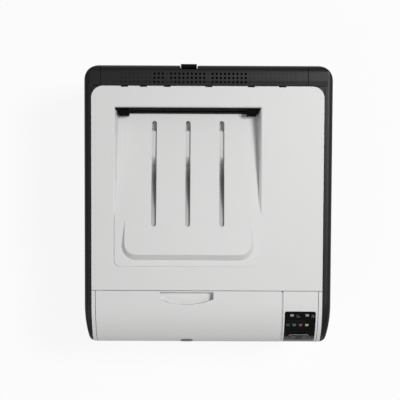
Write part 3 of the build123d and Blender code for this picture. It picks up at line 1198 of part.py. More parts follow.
# Driven and idle rollers of the exit
def wheels(axis, r):
    """Row of wheels on one shaft."""
    row = bar_x(SHAFT_X0, SHAFT_X1, *axis, SHAFT_R)
    for dx in EXIT_WHEEL_X:
        x = PAPER_X + dx
        row += bar_x(x - EXIT_WHEEL_WIDTH / 2, x + EXIT_WHEEL_WIDTH / 2, *axis, r, ROLLER_SIDES)
    return row


NODES["exit_roller"] = wheels(EXIT[:2], EXIT[2])
NODES["exit_pinch_rollers"] = wheels(EXIT_PINCH, EXIT_PINCH_R)


# Transfer belt around its drive and tension rollers
ROLL_X0, ROLL_X1 = DRUM_LEFT_X - 2, DRUM_RIGHT_X + 2
BELT_INNER_R = (BELT_DRIVE[2] + SHAFT_FIT) / math.cos(math.pi / BELT_STEPS / 2)
belt_gap = BELT_DRIVE[0] - BELT_TENSION[0]
belt_place = Pos((ROLL_X0 + ROLL_X1) / 2, (BELT_DRIVE[0] + BELT_TENSION[0]) / 2, BELT_DRIVE[1])
outer_loop, inner_loop = [
    extrude(Plane.YZ * pill(belt_gap + 2 * r, 2 * r, BELT_STEPS), amount=(ROLL_X1 - ROLL_X0) / 2,
            both=True) for r in (BELT_DRIVE[2] + BELT_THICK, BELT_INNER_R)]
NODES["transfer_belt"] = belt_place * (outer_loop - inner_loop)
NODES["belt_drive_roller"] = (
    roller(ROLL_X0, ROLL_X1, BELT_DRIVE[:2], BELT_DRIVE[2], SHAFT_X0, GEAR_X + GEAR_WIDTH)
    + gear_x(BELT_TEETH, GEAR_ANGLE, GEAR_X, *BELT_DRIVE[:2]))
for name, axis, r, x0, x1 in (
        ("belt_tension_roller", BELT_TENSION[:2], BELT_TENSION[2], ROLL_X0, ROLL_X1),
        ("transfer_roller", TRANSFER, TRANSFER_R, ROLL_X0, ROLL_X1),
        ("registration_roller", REGISTRATION[:2], REGISTRATION[2], ROLL_X0, ROLL_X1),
        ("registration_pinch_roller", REGISTRATION_PINCH, REGISTRATION_PINCH_R,
         ROLL_X0 + PINCH_MARGIN, ROLL_X1 - PINCH_MARGIN),
        ("pickup_roller", PICK[:2], PICK[2], PICK_LEFT_X, PICK_RIGHT_X),
        ("heat_roller", HEAT[:2], HEAT[2], ROLL_X0, ROLL_X1),
        ("pressure_roller", PRESSURE, PRESSURE_R, ROLL_X0, ROLL_X1)):
    NODES[name] = roller(x0, x1, axis, r, SHAFT_X0, SHAFT_X1)


# Fuser frame: cheeks at both ends of the heat and pressure rollers, a ribbed hood between
FUSER_X0, FUSER_X1 = LEFT_INNER_X + FIT, RIGHT_INNER_X - FIT
FUSER_LOW, FUSER_HIGH = HEAT[1] - FUSER_BELOW, HEAT[1] + FUSER_ABOVE
fuser_front = HEAT[0] - HEAT[2] - FUSER_FRONT_GAP
fuser_rear = PRESSURE[0] + PRESSURE_R + FUSER_REAR_GAP
hood_rear = NIP_Y - FUSER_PATH
fuser = prism_x([
    (fuser_front, FUSER_LOW), (hood_rear, FUSER_LOW), (hood_rear, FUSER_LOW + FUSER_WALL),
    (fuser_front + FUSER_WALL, FUSER_LOW + FUSER_WALL),
    (fuser_front + FUSER_WALL, FUSER_HIGH - FUSER_WALL), (hood_rear, FUSER_HIGH - FUSER_WALL),
    (hood_rear, FUSER_HIGH), (fuser_front, FUSER_HIGH)], FUSER_X0, FUSER_X1)
fuser += box(FUSER_X0, FUSER_X1, NIP_Y + FUSER_PATH, fuser_rear, FUSER_HIGH - FUSER_WALL,
             FUSER_HIGH)
for x0, x1 in ((FUSER_X0, FUSER_X0 + FUSER_CHEEK), (FUSER_X1 - FUSER_CHEEK, FUSER_X1)):
    cheek = box(x0, x1, fuser_front, fuser_rear, FUSER_LOW, FUSER_HIGH)
    fuser += bored(cheek, [HEAT, PRESSURE], x0 - 1, x1 + 1)
fin_pitch = (FUSER_X1 - FUSER_X0) / (FUSER_FINS + 1)
for i in range(FUSER_FINS):
    x = FUSER_X0 + fin_pitch * (i + 1)
    fuser += prism_x([
        (fuser_front + 1, FUSER_HIGH), (hood_rear, FUSER_HIGH),
        (hood_rear, FUSER_HIGH + FUSER_FIN_RISE / 2),
        (fuser_front + FUSER_FIN_RISE, FUSER_HIGH + FUSER_FIN_RISE)], x - 1, x + 1)
NODES["fuser_frame"] = fuser


# Toner cartridges on their rails, each with its drum
CAP_X0, CAP_X1 = DRUM_LEFT_X - DRUM_END_GAP, DRUM_RIGHT_X + DRUM_END_GAP
CARTRIDGE_LOW = RAIL_TOP + FIT
CARTRIDGE_TOP = DRUM_Z + CARTRIDGE_HEIGHT
for toner, drum_y in zip(TONERS, DRUM_Y):
    back, front = drum_y + CARTRIDGE_TAIL, drum_y - CARTRIDGE_REACH
    cartridge = prism_x([
        (front, CARTRIDGE_LOW + CARTRIDGE_BEVEL / 2), (front, CARTRIDGE_TOP - CARTRIDGE_BEVEL),
        (front + CARTRIDGE_BEVEL, CARTRIDGE_TOP), (back - CARTRIDGE_BEVEL, CARTRIDGE_TOP),
        (back, CARTRIDGE_TOP - CARTRIDGE_BEVEL), (back, DRUM_Z + 3), (drum_y, DRUM_Z + 3),
        (drum_y - CARTRIDGE_TAIL, CARTRIDGE_LOW)], CAP_X0 - CARTRIDGE_CAP, CAP_X1 + CARTRIDGE_CAP)
    cartridge -= bar_x(CAP_X0, CAP_X1, drum_y, DRUM_Z, DRUM_R + DRUM_END_GAP, ROLLER_SIDES)
    cartridge -= box(PAPER_X - GRIP_HALF, PAPER_X + GRIP_HALF, drum_y - 2 * CARTRIDGE_BEVEL,
                     drum_y - CARTRIDGE_BEVEL / 2, CARTRIDGE_TOP - 5, FAR)
    for x0, x1 in ((CAP_X0 - CARTRIDGE_CAP, CAP_X0), (CAP_X1, CAP_X1 + CARTRIDGE_CAP)):
        cartridge += box(x0, x1, drum_y - CAP_HALF, drum_y + CAP_HALF, CARTRIDGE_LOW,
                         DRUM_Z + DRUM_R)
        cartridge -= bore_x(x0 - 1, x1 + 1, drum_y, DRUM_Z, SHAFT_R)
    NODES[f"toner_cartridge_{toner}"] = cartridge
    NODES[f"photo_drum_{toner}"] = roller(DRUM_LEFT_X, DRUM_RIGHT_X, (drum_y, DRUM_Z), DRUM_R,
                                          DRUM_LEFT_X - CARTRIDGE_CAP, DRUM_RIGHT_X + CARTRIDGE_CAP)


# Laser scanner on its flange between the side plates
scanner = prism_x([
    (SCANNER_FRONT_Y, SCANNER_BOTTOM), (SCANNER_REAR_Y, SCANNER_BOTTOM),
    (SCANNER_REAR_Y, SCANNER_TOP - SCANNER_SIDE), (SCANNER_REAR_Y - 2 * SCANNER_SIDE, SCANNER_TOP),
    (SCANNER_FRONT_Y + SCANNER_SIDE, SCANNER_TOP), (SCANNER_FRONT_Y, SCANNER_TOP - SCANNER_SIDE)],
    DRUM_LEFT_X + SCANNER_SIDE, DRUM_RIGHT_X - SCANNER_SIDE)
scanner += box(FUSER_X0, FUSER_X1, SCANNER_FRONT_Y - NOSE_R, SCANNER_REAR_Y + NOSE_R,
               SCANNER_BOTTOM - FIT, SCANNER_BOTTOM - FIT + SCANNER_FLANGE)
for drum_y in DRUM_Y[1:]:
    scanner -= box(DRUM_LEFT_X + 2 * SCANNER_SIDE, DRUM_RIGHT_X - 2 * SCANNER_SIDE,
                   drum_y - 1.5 * SCANNER_WINDOW, drum_y - SCANNER_WINDOW / 2,
                   SCANNER_BOTTOM - 1, SCANNER_BOTTOM + 1.5 * SCANNER_WINDOW)
for y in SCANNER_RIB_Y:
    scanner += box(DRUM_LEFT_X + 2 * SCANNER_SIDE, DRUM_RIGHT_X - 2 * SCANNER_SIDE, y, y + 2,
                   SCANNER_TOP - 1, SCANNER_TOP + 3)
scanner += extrude(Pos(PAPER_X, SCANNER_POLYGON_Y, SCANNER_TOP - 1)
                   * RegularPolygon(SCANNER_BEARING_R, ROLLER_SIDES), amount=5)
NODES["laser_scanner"] = scanner


# Motor with its pinion in mesh with the gear of the drive roller
mesh = MODULE * (BELT_TEETH + MOTOR_TEETH) / 2
motor_y = BELT_DRIVE[0] + mesh * math.cos(math.radians(GEAR_ANGLE))
motor_z = BELT_DRIVE[1] + mesh * math.sin(math.radians(GEAR_ANGLE))
motor_x = GEAR_X + GEAR_WIDTH + MOTOR_GAP
NODES["motor_pinion"] = (
    gear_x(MOTOR_TEETH, GEAR_ANGLE + 180 + 180 / MOTOR_TEETH, GEAR_X, motor_y, motor_z)
    + bar_x(GEAR_X - 1, motor_x + MOTOR_BORE - 1, motor_y, motor_z, MOTOR_SHAFT_R))
motor = bar_x(motor_x, motor_x + MOTOR_LENGTH, motor_y, motor_z, MOTOR_R, PINION_SIDES)
motor += bar_x(motor_x + MOTOR_LENGTH, motor_x + MOTOR_LENGTH + 3, motor_y, motor_z, MOTOR_R / 3)
motor += box(motor_x, motor_x + PLATE, motor_y - 1.5 * MOTOR_R, motor_y + MOTOR_R / 2,
             motor_z - MOTOR_R, motor_z + 1.2 * MOTOR_R)
for angle in MOTOR_POST_ANGLES:
    post_y = motor_y + MOTOR_POST_REACH * math.cos(math.radians(angle))
    post_z = motor_z + MOTOR_POST_REACH * math.sin(math.radians(angle))
    motor += bar_x(RIGHT_OUTER_X, motor_x + 1, post_y, post_z, MOTOR_POST_R, POST_SIDES)
motor -= bore_x(motor_x - 1, motor_x + MOTOR_BORE, motor_y, motor_z, MOTOR_SHAFT_R)
NODES["main_motor"] = motor


# Cooling fan behind the vents of the left panel
fan_x1 = LEFT_PLATE_X - FIT
fan_x0 = fan_x1 - FAN_DEPTH
fan_floor = fan_x1 - FAN_WALL
fan = prism_x(chamfered(FAN_Y - FAN_HALF, FAN_Y + FAN_HALF, FAN_Z - FAN_HALF, FAN_Z + FAN_HALF,
                        2 * FAN_WALL), fan_x0, fan_x1)
fan -= bar_x(fan_x0 - 1, fan_x1 + 1, FAN_Y, FAN_Z, FAN_HALF - FAN_WALL, FAN_SIDES)
for i in range(3):
    spoke = Rot(45 + 120 * i, 0, 0) * box(-FAN_WALL, 0, 0, FAN_HALF - 1, -1.5, 1.5)
    fan += Pos(fan_x1, FAN_Y, FAN_Z) * spoke
fan += bar_x(fan_floor, fan_x1, FAN_Y, FAN_Z, FAN_HUB_R, ROLLER_SIDES)
fan += bar_x(fan_floor - 4, fan_floor, FAN_Y, FAN_Z, FAN_PIN_R, POST_SIDES)
NODES["fan_frame"] = fan
hub = bar_x(fan_x0 + 1, fan_floor - 1, FAN_Y, FAN_Z, FAN_HUB_R, ROLLER_SIDES)
blade = Rot(0, FAN_BLADE_TWIST, 0) * box(
    -FAN_BLADE_WIDTH / 2, FAN_BLADE_WIDTH / 2, FAN_HUB_R - 1, FAN_HALF - FAN_WALL - FAN_BLADE_GAP,
    -FAN_BLADE_THICK / 2, FAN_BLADE_THICK / 2)
for i in range(FAN_BLADES):
    hub += Pos(fan_x0 + 6.5, FAN_Y, FAN_Z) * (Rot(360 / FAN_BLADES * i, 0, 0) * blade)
hub -= bore_x(fan_floor - 5, fan_floor, FAN_Y, FAN_Z, FAN_PIN_R)
NODES["fan_impeller"] = hub


# Power inlet, power supply and main board
def socket(x, z, width, height, y0, y1, wall, back):
    """Rectangular socket open to the rear with a closed back."""
    half_x, half_z = width / 2 - FIT, height / 2 - FIT
    shell = box(x - half_x, x + half_x, y0, y1, z - half_z, z + half_z)
    return shell - box(x - half_x + wall, x + half_x - wall, y0 + back, y1 + 1,
                       z - half_z + wall, z + half_z - wall)


INLET_FRONT_Y = BODY_REAR_Y - 0.5 - INLET_DEPTH
inlet = socket(INLET_X, INLET_Z, INLET_WIDTH, INLET_HEIGHT, INLET_FRONT_Y, BODY_REAR_Y - 0.5, 2, 4)
for dx, dz in ((-7, 0), (0, 3.0), (7, 0)):
    inlet += box(INLET_X + dx - 1, INLET_X + dx + 1, INLET_FRONT_Y + 3, BODY_REAR_Y - 4.5,
                 INLET_Z + dz - 2, INLET_Z + dz + 2)
NODES["power_inlet"] = inlet
SUPPLY_X0 = RIGHT_OUTER_X + SUPPLY_SIDE
supply = box(SUPPLY_X0, SUPPLY_RIGHT_X, SUPPLY_FRONT_Y, SUPPLY_REAR_Y, SUPPLY_Z,
             SUPPLY_Z + BOARD_THICK)
for x in (SUPPLY_X0 + 5, SUPPLY_RIGHT_X - 5):
    for y in (SUPPLY_FRONT_Y + 6, SUPPLY_REAR_Y - 10):
        supply += extrude(Pos(x, y, FOOT_HEIGHT + SKIN) * RegularPolygon(POST_R, POST_SIDES),
                          amount=SUPPLY_Z + 1 - FOOT_HEIGHT - SKIN)
for x0, x1, y0, y1, high in SUPPLY_BLOCKS:
    supply += box(x0, x1, y0, y1, SUPPLY_Z + 1, SUPPLY_Z + high)
for x, y, r, high in SUPPLY_CANS:
    supply += extrude(Pos(x, y, SUPPLY_Z + 1) * RegularPolygon(r, SHAFT_SIDES), amount=high)
supply += box(INLET_X - 8, INLET_X + 8, SUPPLY_REAR_Y - 2, INLET_FRONT_Y, SUPPLY_Z, INLET_Z + 6)
NODES["power_supply"] = supply
BOARD_X = PORT_X + NETWORK_WIDTH / 2
board = box(BOARD_X, BOARD_X + BOARD_THICK, BOARD_FRONT_Y, BOARD_REAR_Y, BOARD_BOTTOM, BOARD_TOP)
for y in (BOARD_FRONT_Y + 6, BOARD_REAR_Y - 8):
    for z in BOARD_POST_Z:
        board += bar_x(RIGHT_OUTER_X, BOARD_X + 1, y, z, POST_R, POST_SIDES)
for z, width, height in ((USB_Z, USB_WIDTH, USB_HEIGHT), (NETWORK_Z, NETWORK_WIDTH, NETWORK_HEIGHT)):
    board += socket(PORT_X, z, width, height, BODY_REAR_Y - 1 - PORT_DEPTH, BODY_REAR_Y - 1, 1, 5)
board += box(PORT_X - 3, BOARD_X + 1, BOARD_REAR_Y - 4, BOARD_REAR_Y + 2, USB_Z - 4, NETWORK_Z + 5)
for y, z, width, height in BOARD_CHIPS:
    board += box(BOARD_X - 4, BOARD_X + 1, y - width / 2, y + width / 2, z - height / 2,
                 z + height / 2)
NODES["main_board"] = board


os.makedirs("parts", exist_ok=True)
for name, shape in NODES.items():
    save(name, shape)
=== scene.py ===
import json
import math

import bmesh
import bpy
import numpy as np
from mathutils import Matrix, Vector


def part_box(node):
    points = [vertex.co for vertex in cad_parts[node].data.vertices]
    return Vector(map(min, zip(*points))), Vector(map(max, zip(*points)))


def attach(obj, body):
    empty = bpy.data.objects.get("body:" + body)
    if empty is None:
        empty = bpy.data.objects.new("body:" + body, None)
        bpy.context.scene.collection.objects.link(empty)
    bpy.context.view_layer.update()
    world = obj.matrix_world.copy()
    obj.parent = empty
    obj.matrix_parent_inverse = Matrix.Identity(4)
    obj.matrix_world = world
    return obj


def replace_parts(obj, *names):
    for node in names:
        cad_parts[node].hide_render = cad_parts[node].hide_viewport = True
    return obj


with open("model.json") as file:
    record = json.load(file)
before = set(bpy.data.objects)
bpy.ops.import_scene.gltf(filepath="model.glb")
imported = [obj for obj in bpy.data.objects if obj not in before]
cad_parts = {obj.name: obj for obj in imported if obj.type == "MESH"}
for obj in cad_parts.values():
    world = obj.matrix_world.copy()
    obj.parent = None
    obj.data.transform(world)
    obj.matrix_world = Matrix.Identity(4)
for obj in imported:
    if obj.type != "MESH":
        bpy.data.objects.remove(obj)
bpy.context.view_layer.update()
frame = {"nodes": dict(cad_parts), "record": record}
MM = 0.001

# Sizes and places in millimetres, as the part has them
FAR = 400.0
PAPER_X = -32.7  # middle of the paper path
ROOF_SLOPE = math.radians(3.2)
ROOF_REAR = (190.6, 252.4)  # y and z of the roof's rear edge
BROW_Y = -158.0  # where the roof starts to curve down
BROW_DROP = 52.0  # from there down to the centre of the front's arc
FRONT_Y = -226.5
FRONT_R = 40.0
BIN_REAR = (156.8, 220.0)  # y and z of the bin's rear edge
BED_SLOPE = math.radians(6.95)
BED_X = (-134.0, 69.0)
SLOT_PITCH = 54.8
SLOT_WIDTH = 7.9
SLOT_ENDS = (-34.4, 137.4)  # front and rear
VENT_PITCH = (6.62, 6.7)
VENT_COUNT = (43, 3)
VENT_FIRST = (-139.5, 196.7)  # left column, front row
ROLL_X = (-143.0, 78.0)
SHAFT_R = 2.76  # just inside the flats of the CAD shafts
BELT_THICK = 0.3
STATUS_X = (137.1, 161.6)
STATUS_Y = -177.7
WINDOW_PITCH = 10.2
TONER_X = [131.0 + WINDOW_PITCH * i for i in range(4)]
TONER_Y = -194.0
PORT_X = 145.0

# The front profile: the roof, an arc of the brow and an arc of the front, each touching the next
BROW_Z = ROOF_REAR[1] - (ROOF_REAR[0] - BROW_Y) * math.tan(ROOF_SLOPE)
LOW_CENTRE = (FRONT_Y + FRONT_R, BROW_Z - BROW_DROP)
BROW_RUN = BROW_Y - LOW_CENTRE[0]
BROW_R = (FRONT_R ** 2 - BROW_RUN ** 2 - BROW_DROP ** 2) / 2 / (
    BROW_RUN * math.sin(ROOF_SLOPE) - BROW_DROP * math.cos(ROOF_SLOPE) + FRONT_R)
HIGH_CENTRE = (BROW_Y + BROW_R * math.sin(ROOF_SLOPE), BROW_Z - BROW_R * math.cos(ROOF_SLOPE))
JOIN_ANGLE = math.atan2(HIGH_CENTRE[0] - LOW_CENTRE[0], LOW_CENTRE[1] - HIGH_CENTRE[1])
JOIN_Y = LOW_CENTRE[0] - FRONT_R * math.sin(JOIN_ANGLE)

# Colours
WHITE = (0.74, 0.74, 0.735)
BLACK = (0.0105, 0.0105, 0.011)
STEEL = (0.62, 0.63, 0.64)
DRUM_TINT = (0.03, 0.17, 0.22)
SLEEVE_TINT = (0.16, 0.07, 0.05)
TONERS = {"yellow": (0.72, 0.60, 0.06), "magenta": (0.55, 0.04, 0.20),
          "cyan": (0.02, 0.30, 0.52), "black": (0.05, 0.05, 0.05)}
# Windows of the toner lights, in their order along X
PRINTS = ((0.012, 0.012, 0.012), (0.05, 0.17, 0.23), (0.24, 0.075, 0.10), (0.46, 0.44, 0.18))

# Painted shade of the top cover and of the vents, in millimetres and shares
GRAIN = 0.9
# Painted shade down the finger slots, as shares of dark along their length
SLOT_PAINTED_SHADE = ((0.0, 0.30), (0.45, 0.52), (0.6, 0.2), (1.0, 0.1))  # share of length, share of dark
SLOT_DEEP = 0.9  # below the bed, where the dark starts
# Share of painted shade along the faint lines round the roof and by the bed's flanks
LINE_SHADE = 0.05
INSET_X = (-181.4, 181.0)
INSET_Y = 183.7
INSET_R = 13.0
INSET_FLOOR = 225.1
FLANK_Y = (-30.0, 142.0)
FLANK_TOP = 229.5
VENT_DOT = 0.29  # radius as a share of the pitch
VENT_FLOOR = 240.0


class Wire:
    """One output of a node in a material; arithmetic on it adds Math nodes."""

    def __init__(self, tree, socket=None):
        self.tree, self.socket = tree, socket

    def node(self, kind, settings=None, out=0, **values):
        """A node of a type, its settings first, then values or wires by socket name or _index."""
        made = self.tree.nodes.new("ShaderNode" + kind)
        for key, value in (settings or {}).items():
            if key == "stops":
                ramp = made.color_ramp
                while len(ramp.elements) < len(value):
                    ramp.elements.new(1.0)
                for element, (place, colour) in zip(ramp.elements, value):
                    element.position, element.color = place, (*colour, 1)
            else:
                setattr(made, key, value)
        for key, value in values.items():
            key = int(key[1:]) if key[0] == "_" else key.replace("_", " ")
            if isinstance(value, Wire):
                self.tree.links.new(value.socket, made.inputs[key])
            else:
                made.inputs[key].default_value = value
        return Wire(self.tree, made.outputs[out])

    def maths(self, operation, other=0.0, third=0.0):
        """This value through a Math node, with the other values that the operation takes."""
        return self.node("Math", {"operation": operation}, _0=self, _1=other, _2=third)

    def __add__(self, other):
        return self.maths("ADD", other)

    def __sub__(self, other):
        return self.maths("SUBTRACT", other)

    def __mul__(self, other):
        return self.maths("MULTIPLY", other)

    def __truediv__(self, other):
        return self.maths("DIVIDE", other)

    def __rsub__(self, other):
        return self.node("Math", {"operation": "SUBTRACT"}, _0=other, _1=self)

    __radd__, __rmul__ = __add__, __mul__

    def above(self, edge):
        """1 where the value is over the edge, else 0."""
        return self.maths("GREATER_THAN", edge)

    def within(self, low, high):
        """1 where the value lies between two edges, else 0."""
        return self.above(low) * (1 - self.above(high))

    def near(self, centre, reach):
        """1 within a reach of a value, else 0."""
        return self.maths("COMPARE", centre, reach)

    def diagonal(self, other):
        """Square root of the sum of this value's and another's squares."""
        return (self * self + other * other).maths("SQRT")

    def tint(self, low, high):
        """Colour from low to high, by this value from 0 to 1; either is a wire or a colour."""
        low, high = (end if isinstance(end, Wire) else (*end, 1) for end in (low, high))
        return self.node("Mix", {"data_type": "RGBA"}, out=2, _0=self, _6=low, _7=high)


def finish(name, colour, roughness, specular=0.5, metallic=0.0, coat=0.0):
    """A new material with its constants on the shader's own sockets."""
    material = bpy.data.materials.new(name)
    material.use_nodes = True
    shader = material.node_tree.nodes["Principled BSDF"]
    shader.inputs["Base Color"].default_value = (*colour, 1)
    shader.inputs["Roughness"].default_value = roughness
    shader.inputs["Specular IOR Level"].default_value = specular
    shader.inputs["Metallic"].default_value = metallic
    shader.inputs["Coat Weight"].default_value = coat
    return material, Wire(material.node_tree), shader


def feed(wire, shader, socket):
    """Link a wire to a socket of a shader."""
    wire.tree.links.new(wire.socket, shader.inputs[socket])


def place_of(tree):
    """Object coordinates, in metres."""
    return tree.node("TexCoord", out="Object")


def parts_of(place):
    """X, Y and Z of a vector, as three wires."""
    split = place.node("SeparateXYZ", Vector=place)
    return [Wire(place.tree, output) for output in split.socket.node.outputs]


def scaled(colour, share):
    """A colour times a share, at most 1."""
    return tuple(min(c * share, 1.0) for c in colour)


def bumped(tree, shader, height, strength, depth, radius=0.5):
    """Bump over normals that round every hard edge; depth and radius are in millimetres."""
    rounded = tree.node("Bevel", {"samples": 4}, Radius=radius * MM)
    bump = tree.node("Bump", Strength=strength, Distance=depth * MM, Height=height,
                     Normal=rounded)
    feed(bump, shader, "Normal")


def grained(name, colour, roughness, spread=0.06, specular=0.5, painted_darkening=None):
    """Moulded plastic with fine spark-eroded grain and a slight drift of tone.

    Its last argument gives a share of painted shade for each place.
    """
    material, tree, shader = finish(name, colour, roughness, specular)
    place = place_of(tree)
    fine = tree.node("TexNoise", Vector=place, Scale=1000.0 / GRAIN, Detail=3.0, Roughness=0.6)
    drift = tree.node("TexNoise", Vector=place, Scale=9.0, Detail=2.0)
    skin = (drift * 0.7 + fine * 0.3).tint(scaled(colour, 1 - spread), scaled(colour, 1 + spread))
    if painted_darkening:
        skin = painted_darkening(place).tint(skin, scaled(colour, 0.03))
    feed(skin, shader, "Base Color")
    feed(fine * 0.14 + (roughness - 0.07), shader, "Roughness")
    bumped(tree, shader, fine, 0.35, 0.012)
    return material


def slot_painted_shade(x, y, z):
    """Share of painted shade down the finger slots, by their length, below the bed only."""
    bed = (BIN_REAR[0] * MM - y) * math.tan(BED_SLOPE) + BIN_REAR[1] * MM
    along = (y - SLOT_ENDS[0] * MM) / ((SLOT_ENDS[1] - SLOT_ENDS[0]) * MM)
    stops = [(share, (dark, dark, dark)) for share, dark in SLOT_PAINTED_SHADE]
    ramp = along.node("ValToRGB", {"stops": stops}, Fac=along)
    left, middle, right = (x.near((PAPER_X + SLOT_PITCH * i) * MM, SLOT_WIDTH / 2 * MM)
                           for i in (-1, 0, 1))
    inside = (middle + left + right) * y.within(SLOT_ENDS[0] * MM, SLOT_ENDS[1] * MM)
    return ramp * inside * (bed - z).above(SLOT_DEEP * MM)


def inset_shade_line(x, y, z):
    """Painted shade as a faint line round the roof, where the distance from a rounded box is its
    corner radius.
    """
    middle, half = sum(INSET_X) / 2, (INSET_X[1] - INSET_X[0]) / 2 - INSET_R
    across = ((x - middle * MM).maths("ABSOLUTE") - half * MM).maths("MAXIMUM")
    along = (y - (INSET_Y - INSET_R) * MM).maths("MAXIMUM")
    return across.diagonal(along).near(INSET_R * MM, 0.4 * MM) * z.above(INSET_FLOOR * MM)


def flank_shade_lines(x, y, z):
    """Painted shade as faint lines where the bed meets the flanks of the bin."""
    left, right = (x.near(edge * MM, 0.5 * MM) for edge in BED_X)
    along = y.within(FLANK_Y[0] * MM, FLANK_Y[1] * MM)
    return (left + right) * along * (1 - z.above(FLANK_TOP * MM))


def bin_shade(place):
    """Share of painted shade on the top cover: down its slots and along its faint lines."""
    parts = parts_of(place)
    return slot_painted_shade(*parts) + (inset_shade_line(*parts) + flank_shade_lines(*parts)) * LINE_SHADE


def vent_shade(place):
    """Share of painted shade in the dimples of the vent grid, as round dots on its pitch."""
    x, y, z = parts_of(place)
    column = (x - VENT_FIRST[0] * MM) / (VENT_PITCH[0] * MM)
    row = (y - VENT_FIRST[1] * MM) / (VENT_PITCH[1] * MM)
    off_dot = (column - column.maths("ROUND")).diagonal(row - row.maths("ROUND"))
    columns, rows = (line.within(-0.5, count - 0.5)
                     for line, count in zip((column, row), VENT_COUNT))
    return (1 - off_dot.above(VENT_DOT)) * columns * rows * z.above(VENT_FLOOR * MM)


def zinc(name, colour):
    """Zinc plated sheet: brushed along Z, with soft spangle."""
    material, tree, shader = finish(name, colour, 0.38, metallic=1.0)
    place = place_of(tree)
    brushed = tree.node("Mapping", Vector=place, Scale=(1.0, 1.0, 0.02))
    lines = tree.node("TexNoise", Vector=brushed, Scale=900.0, Detail=2.0)
    spangle = tree.node("TexVoronoi", {"feature": "F1"}, Vector=place, Scale=160.0)
    mix = lines * 0.6 + spangle * 0.5
    feed(mix.tint(scaled(colour, 0.86), colour), shader, "Base Color")
    feed(mix * 0.25 + 0.26, shader, "Roughness")
    bumped(tree, shader, lines, 0.2, 0.01, 0.25)
    return material


def rubber(name, colour):
    """Matte rubber with a ground surface."""
    material, tree, shader = finish(name, colour, 0.82, specular=0.3)
    place = place_of(tree)
    fine = tree.node("TexNoise", Vector=place, Scale=1600.0, Detail=4.0)
    ground = tree.node("TexWave", {"bands_direction": "X"}, Vector=place, Scale=450.0)
    feed(fine.tint(scaled(colour, 0.8), scaled(colour, 1.25)), shader, "Base Color")
    bumped(tree, shader, fine + ground * 0.3, 0.5, 0.03)
    return material


def gloss(name, colour, roughness=0.08, coat=0.6, specular=0.5):
    """Polished moulding or film, with faint waviness."""
    material, tree, shader = finish(name, colour, roughness, specular, coat=coat)
    wave = tree.node("TexNoise", Vector=place_of(tree), Scale=60.0, Detail=1.0)
    feed(wave.tint(scaled(colour, 0.9), scaled(colour, 1.1)), shader, "Base Color")
    feed(wave * 0.05 + roughness, shader, "Roughness")
    bumped(tree, shader, wave, 0.05, 0.02, 0.3)
    return material


def layered(name, roughness, base, zones, tracked=True):
    """A base tone with or without tracks, then (mask, colour, metallic) zones over it by place."""
    material, tree, shader = finish(name, base, roughness, coat=0.15)
    place = place_of(tree)
    fine = tree.node("TexNoise", Vector=place, Scale=1400.0, Detail=3.0)
    tracks = fine
    if tracked:
        tracks = tree.node("TexBrick", out="Fac", Vector=place, Scale=120.0, Mortar_Size=0.01)
    skin = (tracks * 0.8 + fine * 0.2).tint(base, scaled(base, 1.9))
    metal, has_metal = 0.0, any(metallic for _, _, metallic in zones)
    for mask, colour, metallic in zones:
        share = mask(place)
        skin = share.tint(skin, colour)
        if has_metal:
            metal = (1 - share) * metal + share * metallic
    if has_metal:
        feed(metal, shader, "Metallic")
    feed(skin, shader, "Base Color")
    feed(tracks * 0.1 + fine * 0.1 + (roughness - 0.1), shader, "Roughness")
    bumped(tree, shader, tracks + fine * 0.4, 0.2, 0.03, 0.3)
    return material


def zone(x=(-FAR, FAR), y=(-FAR, FAR), z=(-FAR, FAR)):
    """Mask of a box of places, in millimetres."""
    def mask(place):
        wide, deep, high = (part.within(edges[0] * MM, edges[1] * MM)
                            for part, edges in zip(parts_of(place), (x, y, z)))
        return wide * deep * high
    return mask


def printed():
    """The toner marks' windows, printed in one colour each by their place along X."""
    material, tree, shader = finish("toner_marks", (0.2, 0.2, 0.2), 0.25, coat=0.3)
    place = place_of(tree)
    x, _, _ = parts_of(place)
    left, width = TONER_X[0] - WINDOW_PITCH / 2, WINDOW_PITCH * len(PRINTS)
    stops = [(i / len(PRINTS), colour) for i, colour in enumerate(PRINTS)]
    colour = tree.node("ValToRGB", {"stops": stops}, Fac=(x - left * MM) / (width * MM))
    colour.socket.node.color_ramp.interpolation = "CONSTANT"
    fine = tree.node("TexNoise", Vector=place, Scale=900.0)
    feed(colour, shader, "Base Color")
    feed(fine * 0.1 + 0.2, shader, "Roughness")
    feed(tree.node("Bump", Strength=0.1, Distance=0.02 * MM, Height=fine), shader, "Normal")
    return material


def cartridge_skin(toner, grip_half=52, grip_z=(160, 175)):
    """Cartridge housing with a colour band round its grip and a coloured end."""
    grip = zone(x=(PAPER_X - grip_half, PAPER_X + grip_half), z=grip_z)
    left_end, right_end = zone(x=(-FAR, ROLL_X[0] - 1)), zone(x=(ROLL_X[1] + 1, FAR))
    return layered(f"cartridge_{toner}", 0.5, (0.028, 0.028, 0.03),
                   [(grip, TONERS[toner], 0.0), (left_end, (0.05, 0.05, 0.053), 0.0),
                    (right_end, scaled(TONERS[toner], 0.8), 0.0)])


def board_skin():
    """Main board: solder mask with tracks, dark chips, plated posts and socket shells."""
    chips, posts = zone(x=(149.2, 153.19)), zone(x=(-FAR, 149.2))
    shells = zone(x=(-FAR, 153.1), y=(199, FAR))
    return layered("main_board_skin", 0.38, (0.02, 0.11, 0.05),
                   [(chips, (0.02, 0.02, 0.022), 0.0), (posts, (0.60, 0.60, 0.58), 1.0),
                    (shells, (0.55, 0.56, 0.57), 1.0)])


def supply_skin():
    """Power supply: brown board, dark parts, a copper winding, a heat sink and can tops."""
    dark_parts = zone(z=(21.7, FAR))
    winding = zone(x=(115, 150), y=(59, 93), z=(27, 45))
    heat_sink = zone(x=(111, 115), z=(21.7, FAR))
    can_tops = zone(x=(140, 180), y=(140, 170), z=(42.4, FAR))
    return layered("supply_skin", 0.4, (0.16, 0.11, 0.03),
                   [(dark_parts, (0.03, 0.03, 0.032), 0.0), (winding, (0.42, 0.17, 0.05), 0.6),
                    (heat_sink, (0.60, 0.61, 0.62), 1.0), (can_tops, (0.62, 0.62, 0.62), 1.0)])


